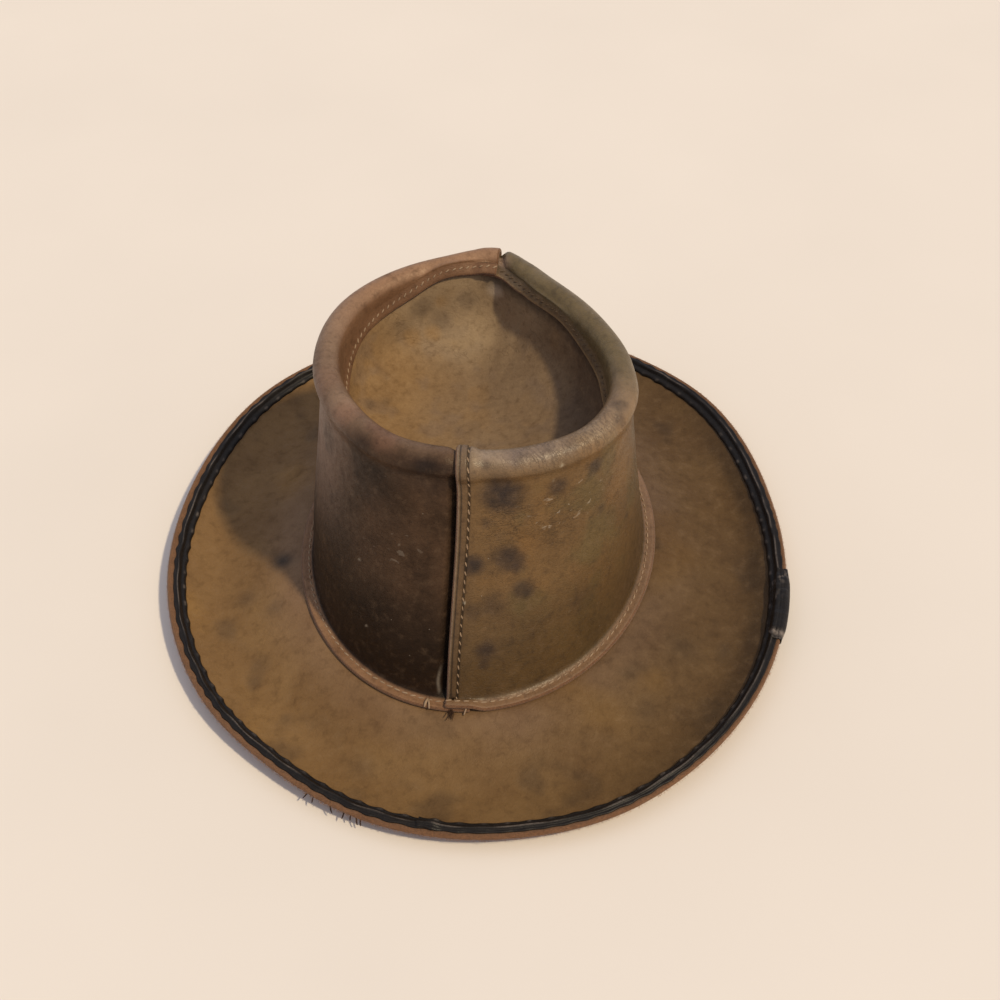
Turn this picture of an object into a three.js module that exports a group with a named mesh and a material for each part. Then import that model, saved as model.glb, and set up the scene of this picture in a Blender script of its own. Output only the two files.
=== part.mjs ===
// A leather hat with a wide brim and a sunken crown, in millimetres, +Z up.
// The front faces -Y, the wearer's left is +X, and it stands at z = 0 on the lowest ring of the brim.
// Every piece is laid out round the head by its turn: 0 degrees is the seam at the back,
// 90 the wearer's left side and 180 the front.
import * as THREE from 'three';

// Leather, tape and the gap between two pieces that lie on each other
const brimThickness = 3;
const panelThickness = 2.2;
const tipThickness = 2;
const tapeThickness = 1;
const layGap = 0.3;

// Foot of the crown: the line where the wall meets its flange
const footHalfWidth = 80.5;
const footHalfLength = 101.5;
const flangeReach = 5.5;

// Heights over the surface that the hat stands on
const brimTopAtCrown = 13;
const rimTop = 131;
const tipMiddle = { x: 2, y: -4, depth: 49 }; // the lowest point of the sunken tip, below the rim

// Seams: one half of the crown laps over the other at the back and at the front
const lapTurn = 6.4;
const rampTurn = 5.6;
const columnsPerSide = 32;
const sinkAtBack = 0.5; // share of the lap's step by which the lower leather sinks
const sinkAtFront = 0.85;

// Tape along the brim's edge, with the wire that it holds
const tapeInset = 2;
const tapeWidth = 7.5;
const wireHeight = 1.3;
const tapeEdge = 0.7; // share of the tape's thickness that its borders keep
const wrap = { from: -87, to: -71.5, clear: 0.5, edgeShares: [0.85, 0.15], underTo: [1, 5] };

// The seams lean: how far their ends are turned from the middle of the back, and of the front
const footSkew = 3;
const rimSkewBack = -2.3;
const rimSkewFront = 6.2;

// The rolled rim of the crown, by bearing: how far out it reaches, the radius of its roll, and
// how far below the crest and inside the reach the raw edge of the flange round the tip lies
const rimRows = [
  { bearing: -174, reach: 79, roll: 4.5, depth: 7.5, inset: 13.5 },
  { bearing: -160, reach: 72.5, roll: 5.5, depth: 9, inset: 14 },
  { bearing: -148, reach: 67.5, roll: 6, depth: 9, inset: 14 },
  { bearing: -132, reach: 65.5, roll: 6, depth: 9.5, inset: 13.5 },
  { bearing: -112, reach: 67, roll: 6, depth: 12.5, inset: 14 },
  { bearing: -90, reach: 73, roll: 6, depth: 16, inset: 14.5 },
  { bearing: -73, reach: 78.5, roll: 6.5, depth: 21, inset: 15 },
  { bearing: -52, reach: 79.5, roll: 6.5, depth: 26, inset: 15 },
  { bearing: -30, reach: 75.5, roll: 7, depth: 29, inset: 16 },
  { bearing: 0, reach: 69.5, roll: 7, depth: 30, inset: 16 },
  { bearing: 25, reach: 68.5, roll: 7, depth: 30, inset: 16 },
  { bearing: 55, reach: 66.5, roll: 6.5, depth: 29, inset: 15 },
  { bearing: 90, reach: 68.5, roll: 6, depth: 25, inset: 14 },
  { bearing: 120, reach: 72, roll: 6, depth: 17, inset: 13.5 },
  { bearing: 148, reach: 73, roll: 5.5, depth: 11, inset: 13.5 },
  { bearing: 166, reach: 74, roll: 4.5, depth: 6, inset: 11.5 },
];

// The brim's edge, by the angle of the crown's foot that it is square to: how far it reaches
// from the foot, and how high its underside curls up over the surface
const brimRows = [
  { angle: -180, reach: 65.5, curl: 5 },
  { angle: -152, reach: 64.5, curl: 6.5 },
  { angle: -130, reach: 67, curl: 9 },
  { angle: -105, reach: 66.5, curl: 10.5 },
  { angle: -90, reach: 68.5, curl: 11 },
  { angle: -60, reach: 74, curl: 9.5 },
  { angle: -30, reach: 73, curl: 6.5 },
  { angle: -10, reach: 67.5, curl: 5 },
  { angle: 10, reach: 64.5, curl: 5 },
  { angle: 30, reach: 63.5, curl: 6.5 },
  { angle: 50, reach: 68, curl: 8.5 },
  { angle: 75, reach: 71.5, curl: 10.5 },
  { angle: 100, reach: 72.5, curl: 11 },
  { angle: 125, reach: 75.5, curl: 9.5 },
  { angle: 152, reach: 71.5, curl: 6.5 },
];

// The brim from the head opening to the edge: where a line runs (a share of the reach, less an
// inset in millimetres), and how much of the slope's height and of the edge's curl it has
const edgeRound = { inset: 0.9, curl: 0.95, halfHeight: 0.7 };
const brimLines = [
  { share: 0, inset: 2, slope: 1, curl: 0 },
  { share: 0, inset: -7, slope: 1, curl: 0 },
  { share: 0.2, inset: 0, slope: 0.84, curl: 0 },
  { share: 0.32, inset: 0, slope: 0.55, curl: 0 },
  { share: 0.46, inset: 0, slope: 0.22, curl: 0 },
  { share: 0.58, inset: 0, slope: 0, curl: 0 },
  { share: 0.7, inset: 0, slope: 0, curl: 0 },
  { share: 1, inset: tapeInset + tapeWidth, slope: 0, curl: 0.36 },
  { share: 1, inset: tapeInset + tapeWidth / 2, slope: 0, curl: 0.64 },
  { share: 1, inset: tapeInset, slope: 0, curl: 0.88 },
  { share: 1, inset: edgeRound.inset, slope: 0, curl: edgeRound.curl },
];

// The wall from its foot to the waist under the roll: share of the height, share of the lean
const wallLines = [
  { rise: 0.03, lean: 0.01 },
  { rise: 0.24, lean: 0.2 },
  { rise: 0.5, lean: 0.5 },
  { rise: 0.76, lean: 0.8 },
  { rise: 1, lean: 1 },
];
const waistDrop = 2.5; // in radii of the roll, below the crest
const waistInset = 2.5;
const rollAngles = [-30, 5, 38, 66, 92, 120, 150, 178];

// Bends of the leather: from the foot's flange up into the wall, and from the roll's inner side
// into the flange round the tip, which is tipFlangeWidth wide from there to its raw edge
const footBend = { flatTo: 1.8, wallFrom: 0.6, rise: 0.9 };
const tipBend = { rise: 1.2, run: 0.3 };
const tipFlangeWidth = 5;
const flangeLines = 2; // lines of points on each of the crown's flanges

// The sunken tip inside its flange: how far inside the raw edge a ring lies, its share of the
// way out from the middle, and its share of the raw edge's height over the middle
const tipRings = [
  { inset: 4, share: 1, height: 0.45 },
  { inset: 4, share: 0.62, height: 0.15 },
];
const tipBorderInset = 0.35; // share of the flange's width that the tip's border leaves free

const radians = THREE.MathUtils.degToRad;
const wrapped = (degrees) => THREE.MathUtils.euclideanModulo(degrees + 180, 360) - 180;

// A smooth value round the head, through the rows of a table
function around(rows, key, column, degrees) {
  const at = wrapped(degrees);
  const sorted = [...rows].sort((a, b) => wrapped(a[key]) - wrapped(b[key]));
  const row = (index) => {
    const lap = Math.floor(index / sorted.length);
    const found = sorted[index - lap * sorted.length];
    return { at: wrapped(found[key]) + 360 * lap, value: found[column] };
  };
  let index = -1;
  while (row(index + 1).at <= at) index += 1;
  const [before, from, to, after] = [index - 1, index, index + 1, index + 2].map(row);
  const span = to.at - from.at;
  const share = (at - from.at) / span;
  const slopeFrom = ((to.value - before.value) / (to.at - before.at)) * span;
  const slopeTo = ((after.value - from.value) / (after.at - from.at)) * span;
  const square = share * share;
  const cube = square * share;
  return (2 * cube - 3 * square + 1) * from.value + (cube - 2 * square + share) * slopeFrom
    + (3 * square - 2 * cube) * to.value + (cube - square) * slopeTo;
}

function ellipsePoint(degrees) {
  const angle = radians(degrees);
  return new THREE.Vector2(footHalfWidth * Math.sin(angle), footHalfLength * Math.cos(angle));
}

// Bearing on the rim, seen from the crown's axis, that a turn leads up to
function bearingOf(turn) {
  const point = ellipsePoint(turn);
  const toFront = (1 - Math.cos(radians(turn))) / 2;
  return THREE.MathUtils.radToDeg(Math.atan2(point.x, point.y))
    + THREE.MathUtils.lerp(rimSkewBack, rimSkewFront, toFront);
}

const roundRim = (column, turn) => around(rimRows, 'bearing', column, bearingOf(turn));
const roundBrim = (column, turn) => around(brimRows, 'angle', column, turn + footSkew);

// Plan of the crown: lean 0 is its foot, lean 1 the outside of its rolled rim
function planPoint(turn, lean) {
  const bearing = radians(bearingOf(turn));
  const rim = new THREE.Vector2(Math.sin(bearing), Math.cos(bearing)).multiplyScalar(roundRim('reach', turn));
  return ellipsePoint(turn + footSkew).lerp(rim, lean);
}

function planNormal(turn, lean) {
  const along = planPoint(turn + 0.5, lean).sub(planPoint(turn - 0.5, lean)).normalize();
  return new THREE.Vector2(-along.y, along.x);
}

// A point that lies so far outside the plan's line. At the foot it goes out squarely, and at the
// rim straight from the crown's axis, so that lines going in never cross at the pointed front.
function placed(turn, lean, push, height) {
  const start = planPoint(turn, lean);
  const normal = planNormal(turn, lean);
  const way = normal.clone().lerp(start.clone().normalize(), lean).normalize();
  const point = start.addScaledVector(way, push / way.dot(normal));
  return new THREE.Vector3(point.x, point.y, height);
}

// Outer skin of the crown at one turn, from the edge of the foot's flange, up the wall,
// over the roll and down to the raw edge of the flange round the tip
function crownLine(turn) {
  const roll = roundRim('roll', turn);
  const inset = roundRim('inset', turn);
  const rawEdge = rimTop - roundRim('depth', turn);
  const flangeRun = inset - 2 * roll - tipBend.run;
  const flangeRise = Math.sqrt(tipFlangeWidth ** 2 - flangeRun ** 2);
  const flangeTop = brimTopAtCrown + layGap + panelThickness;
  const waist = rimTop - waistDrop * roll;
  const line = [
    placed(turn, 0, flangeReach, flangeTop),
    placed(turn, 0, footBend.flatTo, flangeTop),
    placed(turn, 0, footBend.wallFrom, flangeTop + footBend.rise),
  ];
  for (const { rise, lean } of wallLines) {
    const height = THREE.MathUtils.lerp(flangeTop, waist, rise);
    line.push(placed(turn, lean, -waistInset * lean ** 3, height));
  }
  for (const degrees of rollAngles) {
    const out = roll * Math.cos(radians(degrees)) - roll;
    const height = rimTop + roll * Math.sin(radians(degrees)) - roll;
    const lowest = degrees > 90 ? rawEdge + flangeRise + tipBend.rise : 0;
    line.push(placed(turn, 1, out, Math.max(height, lowest)));
  }
  line.push(placed(turn, 1, flangeRun - inset, rawEdge + flangeRise));
  line.push(placed(turn, 1, -inset, rawEdge));
  return line;
}

// Unit normals of a skin at one turn, where lineAt gives the skin's line of points
function skinNormals(lineAt, turn) {
  const line = lineAt(turn);
  const ahead = lineAt(turn + 0.5);
  const behind = lineAt(turn - 0.5);
  return line.map((point, index) => {
    const round = ahead[index].clone().sub(behind[index]);
    const next = line[Math.min(index + 1, line.length - 1)].clone().sub(point).normalize();
    const last = point.clone().sub(line[Math.max(index - 1, 0)]).normalize();
    return next.add(last).cross(round).normalize();
  });
}

// A closed wall between two skins, given as one line of points for each column. A ring joins
// its last column to its first, and an open wall has end faces.
function wallGeometry(outer, inner, ring) {
  const positions = [];
  const rows = outer[0].length;
  outer.forEach((line, column) => [...line, ...inner[column]].forEach((point) => positions.push(...point)));
  const at = (column, row, skin) => (column % outer.length) * 2 * rows + skin * rows + row;
  const triangles = [];
  const quad = (a, b, c, d) => triangles.push(a, b, c, a, c, d);
  const spans = ring ? outer.length : outer.length - 1;
  for (let column = 0; column < spans; column += 1) {
    for (let row = 0; row < rows - 1; row += 1) {
      quad(at(column, row, 0), at(column + 1, row, 0), at(column + 1, row + 1, 0), at(column, row + 1, 0));
      quad(at(column, row, 1), at(column, row + 1, 1), at(column + 1, row + 1, 1), at(column + 1, row, 1));
    }
    quad(at(column, 0, 0), at(column, 0, 1), at(column + 1, 0, 1), at(column + 1, 0, 0));
    const end = rows - 1;
    quad(at(column, end, 0), at(column + 1, end, 0), at(column + 1, end, 1), at(column, end, 1));
  }
  for (let row = 0; !ring && row < rows - 1; row += 1) {
    quad(at(0, row, 0), at(0, row + 1, 0), at(0, row + 1, 1), at(0, row, 1));
    quad(at(spans, row, 0), at(spans, row, 1), at(spans, row + 1, 1), at(spans, row + 1, 0));
  }
  return closedGeometry(positions, triangles);
}

// Faces are turned outwards: a closed mesh that is inside out has a negative volume
function closedGeometry(positions, triangles) {
  const corner = (index) => new THREE.Vector3().fromArray(positions, 3 * index);
  let volume = 0;
  for (let index = 0; index < triangles.length; index += 3) {
    const [a, b, c] = triangles.slice(index, index + 3).map(corner);
    volume += a.dot(b.cross(c));
  }
  const facing = volume < 0 ? [...triangles].reverse() : triangles;
  const geometry = new THREE.BufferGeometry();
  geometry.setAttribute('position', new THREE.Float32BufferAttribute(positions, 3));
  geometry.setIndex(facing);
  geometry.computeVertexNormals();
  return geometry;
}

// Columns at which every piece is drawn, so that pieces lying on each other stay evenly apart
function steps(from, to, count) {
  return Array.from({ length: count }, (_, index) => from + ((to - from) * index) / count);
}
const leftColumns = [
  ...steps(-lapTurn, 0, 2), ...steps(0, 180 - lapTurn - rampTurn, columnsPerSide),
  180 - lapTurn - rampTurn, ...steps(180 - lapTurn, 180, 2), 180,
];
const rightColumns = [
  ...steps(-180 - lapTurn, -180, 2), ...steps(-180, -lapTurn - rampTurn, columnsPerSide),
  -lapTurn - rampTurn, ...steps(-lapTurn, 0, 2), 0,
];
const ringColumns = [...rightColumns.slice(2, -1), ...leftColumns.slice(2, -1)];

// Half of the crown. Its last columns lap over the other half and its first columns under it.
// On the two flanges the upper leather rises by the whole step, and elsewhere the lower one
// sinks by its share of it.
function crownHalf(columns, sinkUnder, sinkOver) {
  const [start, end] = [columns[0], columns[columns.length - 1]];
  const step = panelThickness + layGap;
  const outer = [];
  const inner = [];
  for (const turn of columns) {
    const over = 1 - THREE.MathUtils.clamp((end - turn - lapTurn) / rampTurn, 0, 1);
    const under = 1 - THREE.MathUtils.clamp((turn - start - lapTurn) / rampTurn, 0, 1);
    const line = crownLine(turn);
    const normals = skinNormals(crownLine, turn);
    const shifted = (depth) => line.map((point, index) => {
      const onFlange = index < flangeLines || index >= line.length - flangeLines;
      const lift = onFlange ? over * step : (over * (1 - sinkOver) - under * sinkUnder) * step;
      return point.clone().addScaledVector(normals[index], lift - depth);
    });
    outer.push(shifted(0));
    inner.push(shifted(panelThickness));
  }
  return wallGeometry(outer, inner, false);
}

// Underside of the brim at one turn, as distances from the crown's foot and heights
function brimLine(turn) {
  const reach = roundBrim('reach', turn);
  const curl = roundBrim('curl', turn);
  return brimLines.map((line) => ({
    out: line.share * reach - line.inset,
    height: line.slope * (brimTopAtCrown - brimThickness) + line.curl * curl,
  }));
}

// Height of the brim's upper face at a distance from the crown's foot
function brimTopAt(turn, out) {
  const line = brimLine(turn);
  const index = Math.max(1, line.findIndex((point) => point.out >= out - 1e-6));
  const [from, to] = [line[index - 1], line[index]];
  const share = (out - from.out) / (to.out - from.out);
  return THREE.MathUtils.lerp(from.height, to.height, share) + brimThickness;
}

function brim() {
  const outer = [];
  const inner = [];
  for (const turn of ringColumns) {
    const line = brimLine(turn);
    const reach = roundBrim('reach', turn);
    const edge = roundBrim('curl', turn) + brimThickness / 2;
    outer.push([
      ...line.map((point) => placed(turn, 0, point.out, point.height + brimThickness)),
      placed(turn, 0, reach, edge + edgeRound.halfHeight),
    ]);
    inner.push([
      ...line.map((point) => placed(turn, 0, point.out, point.height)),
      placed(turn, 0, reach, edge - edgeRound.halfHeight),
    ]);
  }
  return wallGeometry(outer, inner, true);
}

// Lines of the tape from its outer to its inner border: inset from the brim's edge, and height
// over its lying face. The wire inside it stands up as a ridge.
const tapeLines = [
  { inset: tapeInset, height: tapeThickness * tapeEdge },
  { inset: tapeInset + 1.4, height: tapeThickness },
  { inset: tapeInset + 2.4, height: tapeThickness + wireHeight },
  { inset: tapeInset + tapeWidth / 2, height: tapeThickness + wireHeight },
  { inset: tapeInset + 4.9, height: tapeThickness },
  { inset: tapeInset + tapeWidth, height: tapeThickness * tapeEdge },
];

function tapePoint(turn, inset, height) {
  const out = roundBrim('reach', turn) - inset;
  return placed(turn, 0, out, brimTopAt(turn, out) + layGap + height);
}

function brimBinding() {
  const lines = (lift) => ringColumns.map((turn) => (
    tapeLines.map(({ inset, height }) => tapePoint(turn, inset, height * lift))
  ));
  return wallGeometry(lines(1), lines(0), true);
}

// A patch of tape folded over the brim's edge: over the binding, round the edge and back under
function bindingWrap() {
  const columns = [wrap.from, ...ringColumns.filter((turn) => turn > wrap.from && turn < wrap.to), wrap.to];
  const outer = [];
  const inner = [];
  for (const turn of columns) {
    const reach = roundBrim('reach', turn);
    const edge = roundBrim('curl', turn);
    const over = tapeLines.slice(0, -1).reverse().map(({ inset, height }) => ({
      out: reach - inset, height: brimTopAt(turn, reach - inset) + layGap + height + wrap.clear,
    }));
    const line = [
      ...over,
      ...wrap.edgeShares.map((share) => ({ out: reach + wrap.clear, height: edge + brimThickness * share })),
      ...wrap.underTo.map((inset) => ({
        out: reach - inset, height: brimTopAt(turn, reach - inset) - brimThickness - wrap.clear,
      })),
    ];
    const spread = line.map((point, index) => {
      const last = line[Math.max(index - 1, 0)];
      const next = line[Math.min(index + 1, line.length - 1)];
      const along = new THREE.Vector2(next.out - last.out, next.height - last.height).normalize();
      return { out: point.out - along.y * tapeThickness, height: point.height + along.x * tapeThickness };
    });
    inner.push(line.map((point) => placed(turn, 0, point.out, point.height)));
    outer.push(spread.map((point) => placed(turn, 0, point.out, point.height)));
  }
  return wallGeometry(outer, inner, false);
}

// Upper skin of the sunken tip at one turn: under the flange, whose two lines it follows, then
// steeply down and on towards the middle
function tipLine(turn) {
  const normals = skinNormals(crownLine, turn);
  const underFlange = crownLine(turn)
    .map((point, index) => point.addScaledVector(normals[index], -panelThickness - layGap))
    .slice(-flangeLines);
  const [bend, rawEdge] = underFlange;
  bend.lerp(rawEdge, tipBorderInset);
  const middle = new THREE.Vector3(tipMiddle.x, tipMiddle.y, rimTop - tipMiddle.depth);
  const dish = tipRings.map(({ inset, share, height }) => {
    const edge = placed(turn, 1, -roundRim('inset', turn) - inset, rawEdge.z);
    const point = middle.clone().lerp(edge, share);
    return point.setZ(THREE.MathUtils.lerp(middle.z, rawEdge.z, height));
  });
  return [...underFlange, ...dish];
}

function crownTip() {
  const rings = flangeLines + tipRings.length;
  const positions = [];
  for (const drop of [0, tipThickness]) {
    const lines = ringColumns.map((turn) => {
      const normals = skinNormals(tipLine, turn);
      return tipLine(turn).map((point, index) => point.addScaledVector(normals[index], -drop));
    });
    for (let ring = 0; ring < rings; ring += 1) {
      lines.forEach((line) => positions.push(...line[ring]));
    }
    positions.push(tipMiddle.x, tipMiddle.y, rimTop - tipMiddle.depth - drop);
  }
  const count = ringColumns.length;
  const skinSize = rings * count + 1;
  const triangles = [];
  for (let column = 0; column < count; column += 1) {
    const next = (column + 1) % count;
    for (let ring = 0; ring < rings - 1; ring += 1) {
      const [a, b, c, d] = [ring * count + column, ring * count + next,
        (ring + 1) * count + next, (ring + 1) * count + column];
      triangles.push(a, b, c, a, c, d);
      triangles.push(skinSize + a, skinSize + c, skinSize + b, skinSize + a, skinSize + d, skinSize + c);
    }
    const last = (rings - 1) * count;
    triangles.push(last + column, last + next, skinSize - 1);
    triangles.push(skinSize + last + column, 2 * skinSize - 1, skinSize + last + next);
    triangles.push(column, skinSize + column, next, next, skinSize + column, skinSize + next);
  }
  return closedGeometry(positions, triangles);
}

function piece(name, geometry, color, roughness) {
  const mesh = new THREE.Mesh(geometry, new THREE.MeshStandardMaterial({ color, roughness, metalness: 0 }));
  mesh.name = name;
  return mesh;
}

const hat = new THREE.Group();
hat.add(
  piece('brim', brim(), 0x6b5136, 0.6),
  piece('crown_left', crownHalf(leftColumns, sinkAtBack, sinkAtFront), 0x54402f, 0.5),
  piece('crown_right', crownHalf(rightColumns, sinkAtFront, sinkAtBack), 0x66552f, 0.5),
  piece('crown_tip', crownTip(), 0x7d6238, 0.55),
  piece('brim_binding', brimBinding(), 0x16141a, 0.35),
  piece('binding_wrap', bindingWrap(), 0x16141a, 0.35),
);

// The origin is the middle of the outline, on the surface that the hat stands on
const outline = new THREE.Box3().setFromObject(hat);
const middleOfOutline = outline.getCenter(new THREE.Vector3());
hat.position.set(-middleOfOutline.x, -middleOfOutline.y, -outline.min.z);

export default hat;
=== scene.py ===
import math

import bpy
import numpy as np
from mathutils import Matrix, Vector


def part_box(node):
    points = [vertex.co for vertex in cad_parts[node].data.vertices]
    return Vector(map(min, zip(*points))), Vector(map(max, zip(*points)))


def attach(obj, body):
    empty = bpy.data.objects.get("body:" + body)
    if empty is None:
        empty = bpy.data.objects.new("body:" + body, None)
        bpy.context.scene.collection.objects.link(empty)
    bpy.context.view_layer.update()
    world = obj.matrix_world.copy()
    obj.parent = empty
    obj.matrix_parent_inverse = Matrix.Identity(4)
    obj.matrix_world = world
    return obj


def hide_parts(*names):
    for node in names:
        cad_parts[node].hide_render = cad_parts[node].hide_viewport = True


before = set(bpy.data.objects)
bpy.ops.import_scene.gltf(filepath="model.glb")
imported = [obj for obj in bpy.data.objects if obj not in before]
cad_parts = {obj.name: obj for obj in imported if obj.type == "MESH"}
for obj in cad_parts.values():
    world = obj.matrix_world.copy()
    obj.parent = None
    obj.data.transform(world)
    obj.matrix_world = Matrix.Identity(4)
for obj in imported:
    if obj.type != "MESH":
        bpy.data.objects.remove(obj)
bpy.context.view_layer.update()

# Lengths are worked in millimetres, from the middle of the crown's foot, and become metres when
# a mesh is made. Every column of the hat has its turn: 0 degrees is the seam at the back,
# 90 the wearer's left and 180 the front.
mm = 0.001
leftBox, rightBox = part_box("crown_left"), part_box("crown_right")
headCentre = np.array([
    (leftBox[1].x + rightBox[0].x) / 2,
    (min(leftBox[0].y, rightBox[0].y) + max(leftBox[1].y, rightBox[1].y)) / 2,
    0,
])
print("head centre in mm:", np.round(headCentre / mm, 3))

leather = {"brim": 3, "panel": 2.2, "tip": 2, "tape": 1, "layGap": 0.3}
foot = {"halfWidth": 80.5, "halfLength": 101.5, "flangeReach": 5.5, "brimTop": 13, "skew": 3}
rim = {"top": 131, "skewBack": -2.3, "skewFront": 6.2, "waistDrop": 2.5, "waistInset": 2,
       "waistInsetAtBack": -0.8}
lap = {"turn": 6.4, "ramp": 5.6, "sinkAtBack": 0.5, "sinkAtFront": 0.85}

# The rolled rim by bearing: reach, radius of the roll, and the raw edge of the flange inside it
rimShape = {
    "at": [-174, -160, -148, -132, -112, -90, -73, -52, -30, 0, 25, 55, 90, 120, 148, 166],
    "reach": [79, 72.5, 67.5, 65.5, 67, 73, 78.5, 79.5, 75.5, 69.5, 68.5, 66.5, 68.5, 72, 73, 74],
    "roll": [4.5, 5.5, 6, 6, 6, 6, 6.5, 6.5, 7, 7, 7, 6.5, 6, 6, 5.5, 4.5],
    "depth": [7.5, 9, 9, 9.5, 12.5, 16, 21, 26, 29, 30, 30, 29, 25, 17, 11, 6],
    "inset": [13.5, 14, 14, 13.5, 14, 14.5, 15, 15, 16, 16, 16, 15, 14, 13.5, 13.5, 11.5],
}

# The brim's edge by the angle of the crown's foot: reach from the foot, and curl over the floor
brimShape = {
    "at": [-180, -152, -130, -105, -90, -60, -30, -10, 10, 30, 50, 75, 100, 125, 152],
    "reach": [65.5, 64.5, 67, 66.5, 68.5, 74, 73, 67.5, 64.5, 63.5, 68, 71.5, 72.5, 75.5, 71.5],
    "curl": [5, 6.5, 9, 10.5, 11, 9.5, 6.5, 5, 5, 6.5, 8.5, 10.5, 11, 9.5, 6.5],
}


def hermite(first, second, firstSlope, secondSlope, span, s):
    # cubic from one value to the next, at share s of the span
    return ((2 * s**3 - 3 * s**2 + 1) * first + (s**3 - 2 * s**2 + s) * firstSlope * span
            + (3 * s**2 - 2 * s**3) * second + (s**3 - s**2) * secondSlope * span)


def around(shape, column, degrees):
    # smooth value round the head, through a table's columns
    at = np.concatenate([np.array(shape["at"], float) + lapped for lapped in (-360, 0, 360)])
    values = np.tile(np.array(shape[column], float), 3)
    slopes = (np.roll(values, -1) - np.roll(values, 1)) / (np.roll(at, -1) - np.roll(at, 1))
    asked = (np.asarray(degrees, float) + 180) % 360 - 180
    i = np.searchsorted(at, asked, side="right") - 1
    span = at[i + 1] - at[i]
    return hermite(values[i], values[i + 1], slopes[i], slopes[i + 1], span, (asked - at[i]) / span)


def smoothStep(low, high, value):
    s = np.clip((np.asarray(value, float) - low) / (high - low), 0, 1)
    return s * s * (3 - 2 * s)


def mixed(a, b, share):
    return a + (b - a) * share


def bump(value, middle, width):
    return np.exp(-((value - middle) / width) ** 2)


def bearingOf(turn):
    angle = np.radians(turn)
    bearing = np.degrees(np.arctan2(
        foot["halfWidth"] * np.sin(angle), foot["halfLength"] * np.cos(angle)))
    return bearing + mixed(rim["skewBack"], rim["skewFront"], (1 - np.cos(angle)) / 2)


def rimAt(column, turn):
    return around(rimShape, column, bearingOf(turn))


def brimAt(column, turn):
    return around(brimShape, column, np.asarray(turn) + foot["skew"])


def onRightSide(turn):
    # 1 along the brim's edge at the wearer's right, where it lies smoothest
    signed = (np.asarray(turn) + 180) % 360 - 180
    return smoothStep(-150, -115, signed) * smoothStep(-25, -55, signed)


def planPoint(turn, lean):
    angle = np.radians(np.asarray(turn) + foot["skew"])
    atFoot = np.stack([foot["halfWidth"] * np.sin(angle), foot["halfLength"] * np.cos(angle)], -1)
    bearing = np.radians(bearingOf(turn))
    atRim = rimAt("reach", turn)[..., None] * np.stack([np.sin(bearing), np.cos(bearing)], -1)
    return mixed(atFoot, atRim, np.asarray(lean, float)[..., None])


def unit(vectors):
    return vectors / np.maximum(np.linalg.norm(vectors, axis=-1, keepdims=True), 1e-9)


def placed(turn, lean, push, height):
    # a point that lies so far outside the plan's line: squarely at the foot, radially at the rim
    turn, lean, push, height = np.broadcast_arrays(turn, np.asarray(lean, float), push, height)
    start = planPoint(turn, lean)
    run = unit(planPoint(turn + 0.5, lean) - planPoint(turn - 0.5, lean))
    normal = np.stack([-run[..., 1], run[..., 0]], -1)
    way = unit(mixed(normal, unit(start), lean[..., None]))
    point = start + way * (push / (way * normal).sum(-1))[..., None]
    return np.concatenate([point, height[..., None]], -1)


def smoothed(lines, spacing, tightest=1):
    # a smooth curve through each line's points, with a point about every so many millimetres
    lengths = np.linalg.norm(np.diff(lines, axis=1), axis=2)
    counts = np.maximum(tightest, np.round(lengths.mean(0) / spacing)).astype(int)
    strides = np.sqrt(np.maximum(lengths, 1e-6))
    knots = np.concatenate([np.zeros((len(lines), 1)), np.cumsum(strides, 1)], 1)
    slopes = np.empty_like(lines)
    slopes[:, 1:-1] = (lines[:, 2:] - lines[:, :-2]) / (knots[:, 2:] - knots[:, :-2])[..., None]
    slopes[:, 0] = (lines[:, 1] - lines[:, 0]) / (knots[:, 1] - knots[:, 0])[:, None]
    slopes[:, -1] = (lines[:, -1] - lines[:, -2]) / (knots[:, -1] - knots[:, -2])[:, None]
    rows, places = [], []
    for i, count in enumerate(counts):
        span = (knots[:, i + 1] - knots[:, i])[:, None]
        for s in np.arange(count) / count:
            rows.append(hermite(
                lines[:, i], lines[:, i + 1], slopes[:, i], slopes[:, i + 1], span, s))
            places.append(i + s)
    rows.append(lines[:, -1])
    places.append(len(counts))
    return np.stack(rows, 1), np.array(places)


def skinNormals(grid):
    # unit normals of a grid of points, columns by turn and rows inwards or upwards
    return unit(np.cross(np.gradient(grid, axis=1), np.gradient(grid, axis=0)))


def ringNormals(grid):
    # the same where the last column meets the first
    return skinNormals(np.concatenate([grid[-2:], grid, grid[:2]]))[2:-2]


cellKeys = np.array([73856093, 19349663, 83492791])  # large primes, to scatter the cells


def cloud(points, size, seed, octaves=3):
    # smooth random value between about -1 and 1, in patches about so many millimetres across
    table = np.random.default_rng(seed).uniform(-1, 1, 4096)
    total, gain, gains = 0, 1, 0
    for octave in range(octaves):
        place = np.asarray(points, float) * 2**octave / size + 31.7 * octave
        cell = np.floor(place).astype(np.int64)
        part = place - cell
        part = part * part * (3 - 2 * part)
        value = 0
        for corner in np.ndindex(2, 2, 2):
            key = (cell + np.array(corner)) * cellKeys
            share = np.prod(np.where(np.array(corner) == 1, part, 1 - part), -1)
            value = value + share * table[np.bitwise_xor.reduce(key, -1) % 4096]
        total, gains = total + gain * value, gains + gain
        gain *= 0.5
    return total / gains * 1.6


def colour(red, green, blue):
    # linear colour from screen values of 0 to 255
    screen = np.array([red, green, blue]) / 255
    return np.where(screen <= 0.04045, screen / 12.92, ((screen + 0.055) / 1.055) ** 2.4)


def tones(**screens):
    return {name: colour(*screen) for name, screen in screens.items()}


def painted(look, points, base, layers):
    # base tone at every point, with layers of (tone, mask) over it; masks run from 0 to 1
    result = np.broadcast_to(look[base], points.shape)
    for tone, mask in layers:
        result = mixed(result, look[tone], np.clip(mask, 0, 1)[..., None])
    return result


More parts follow.
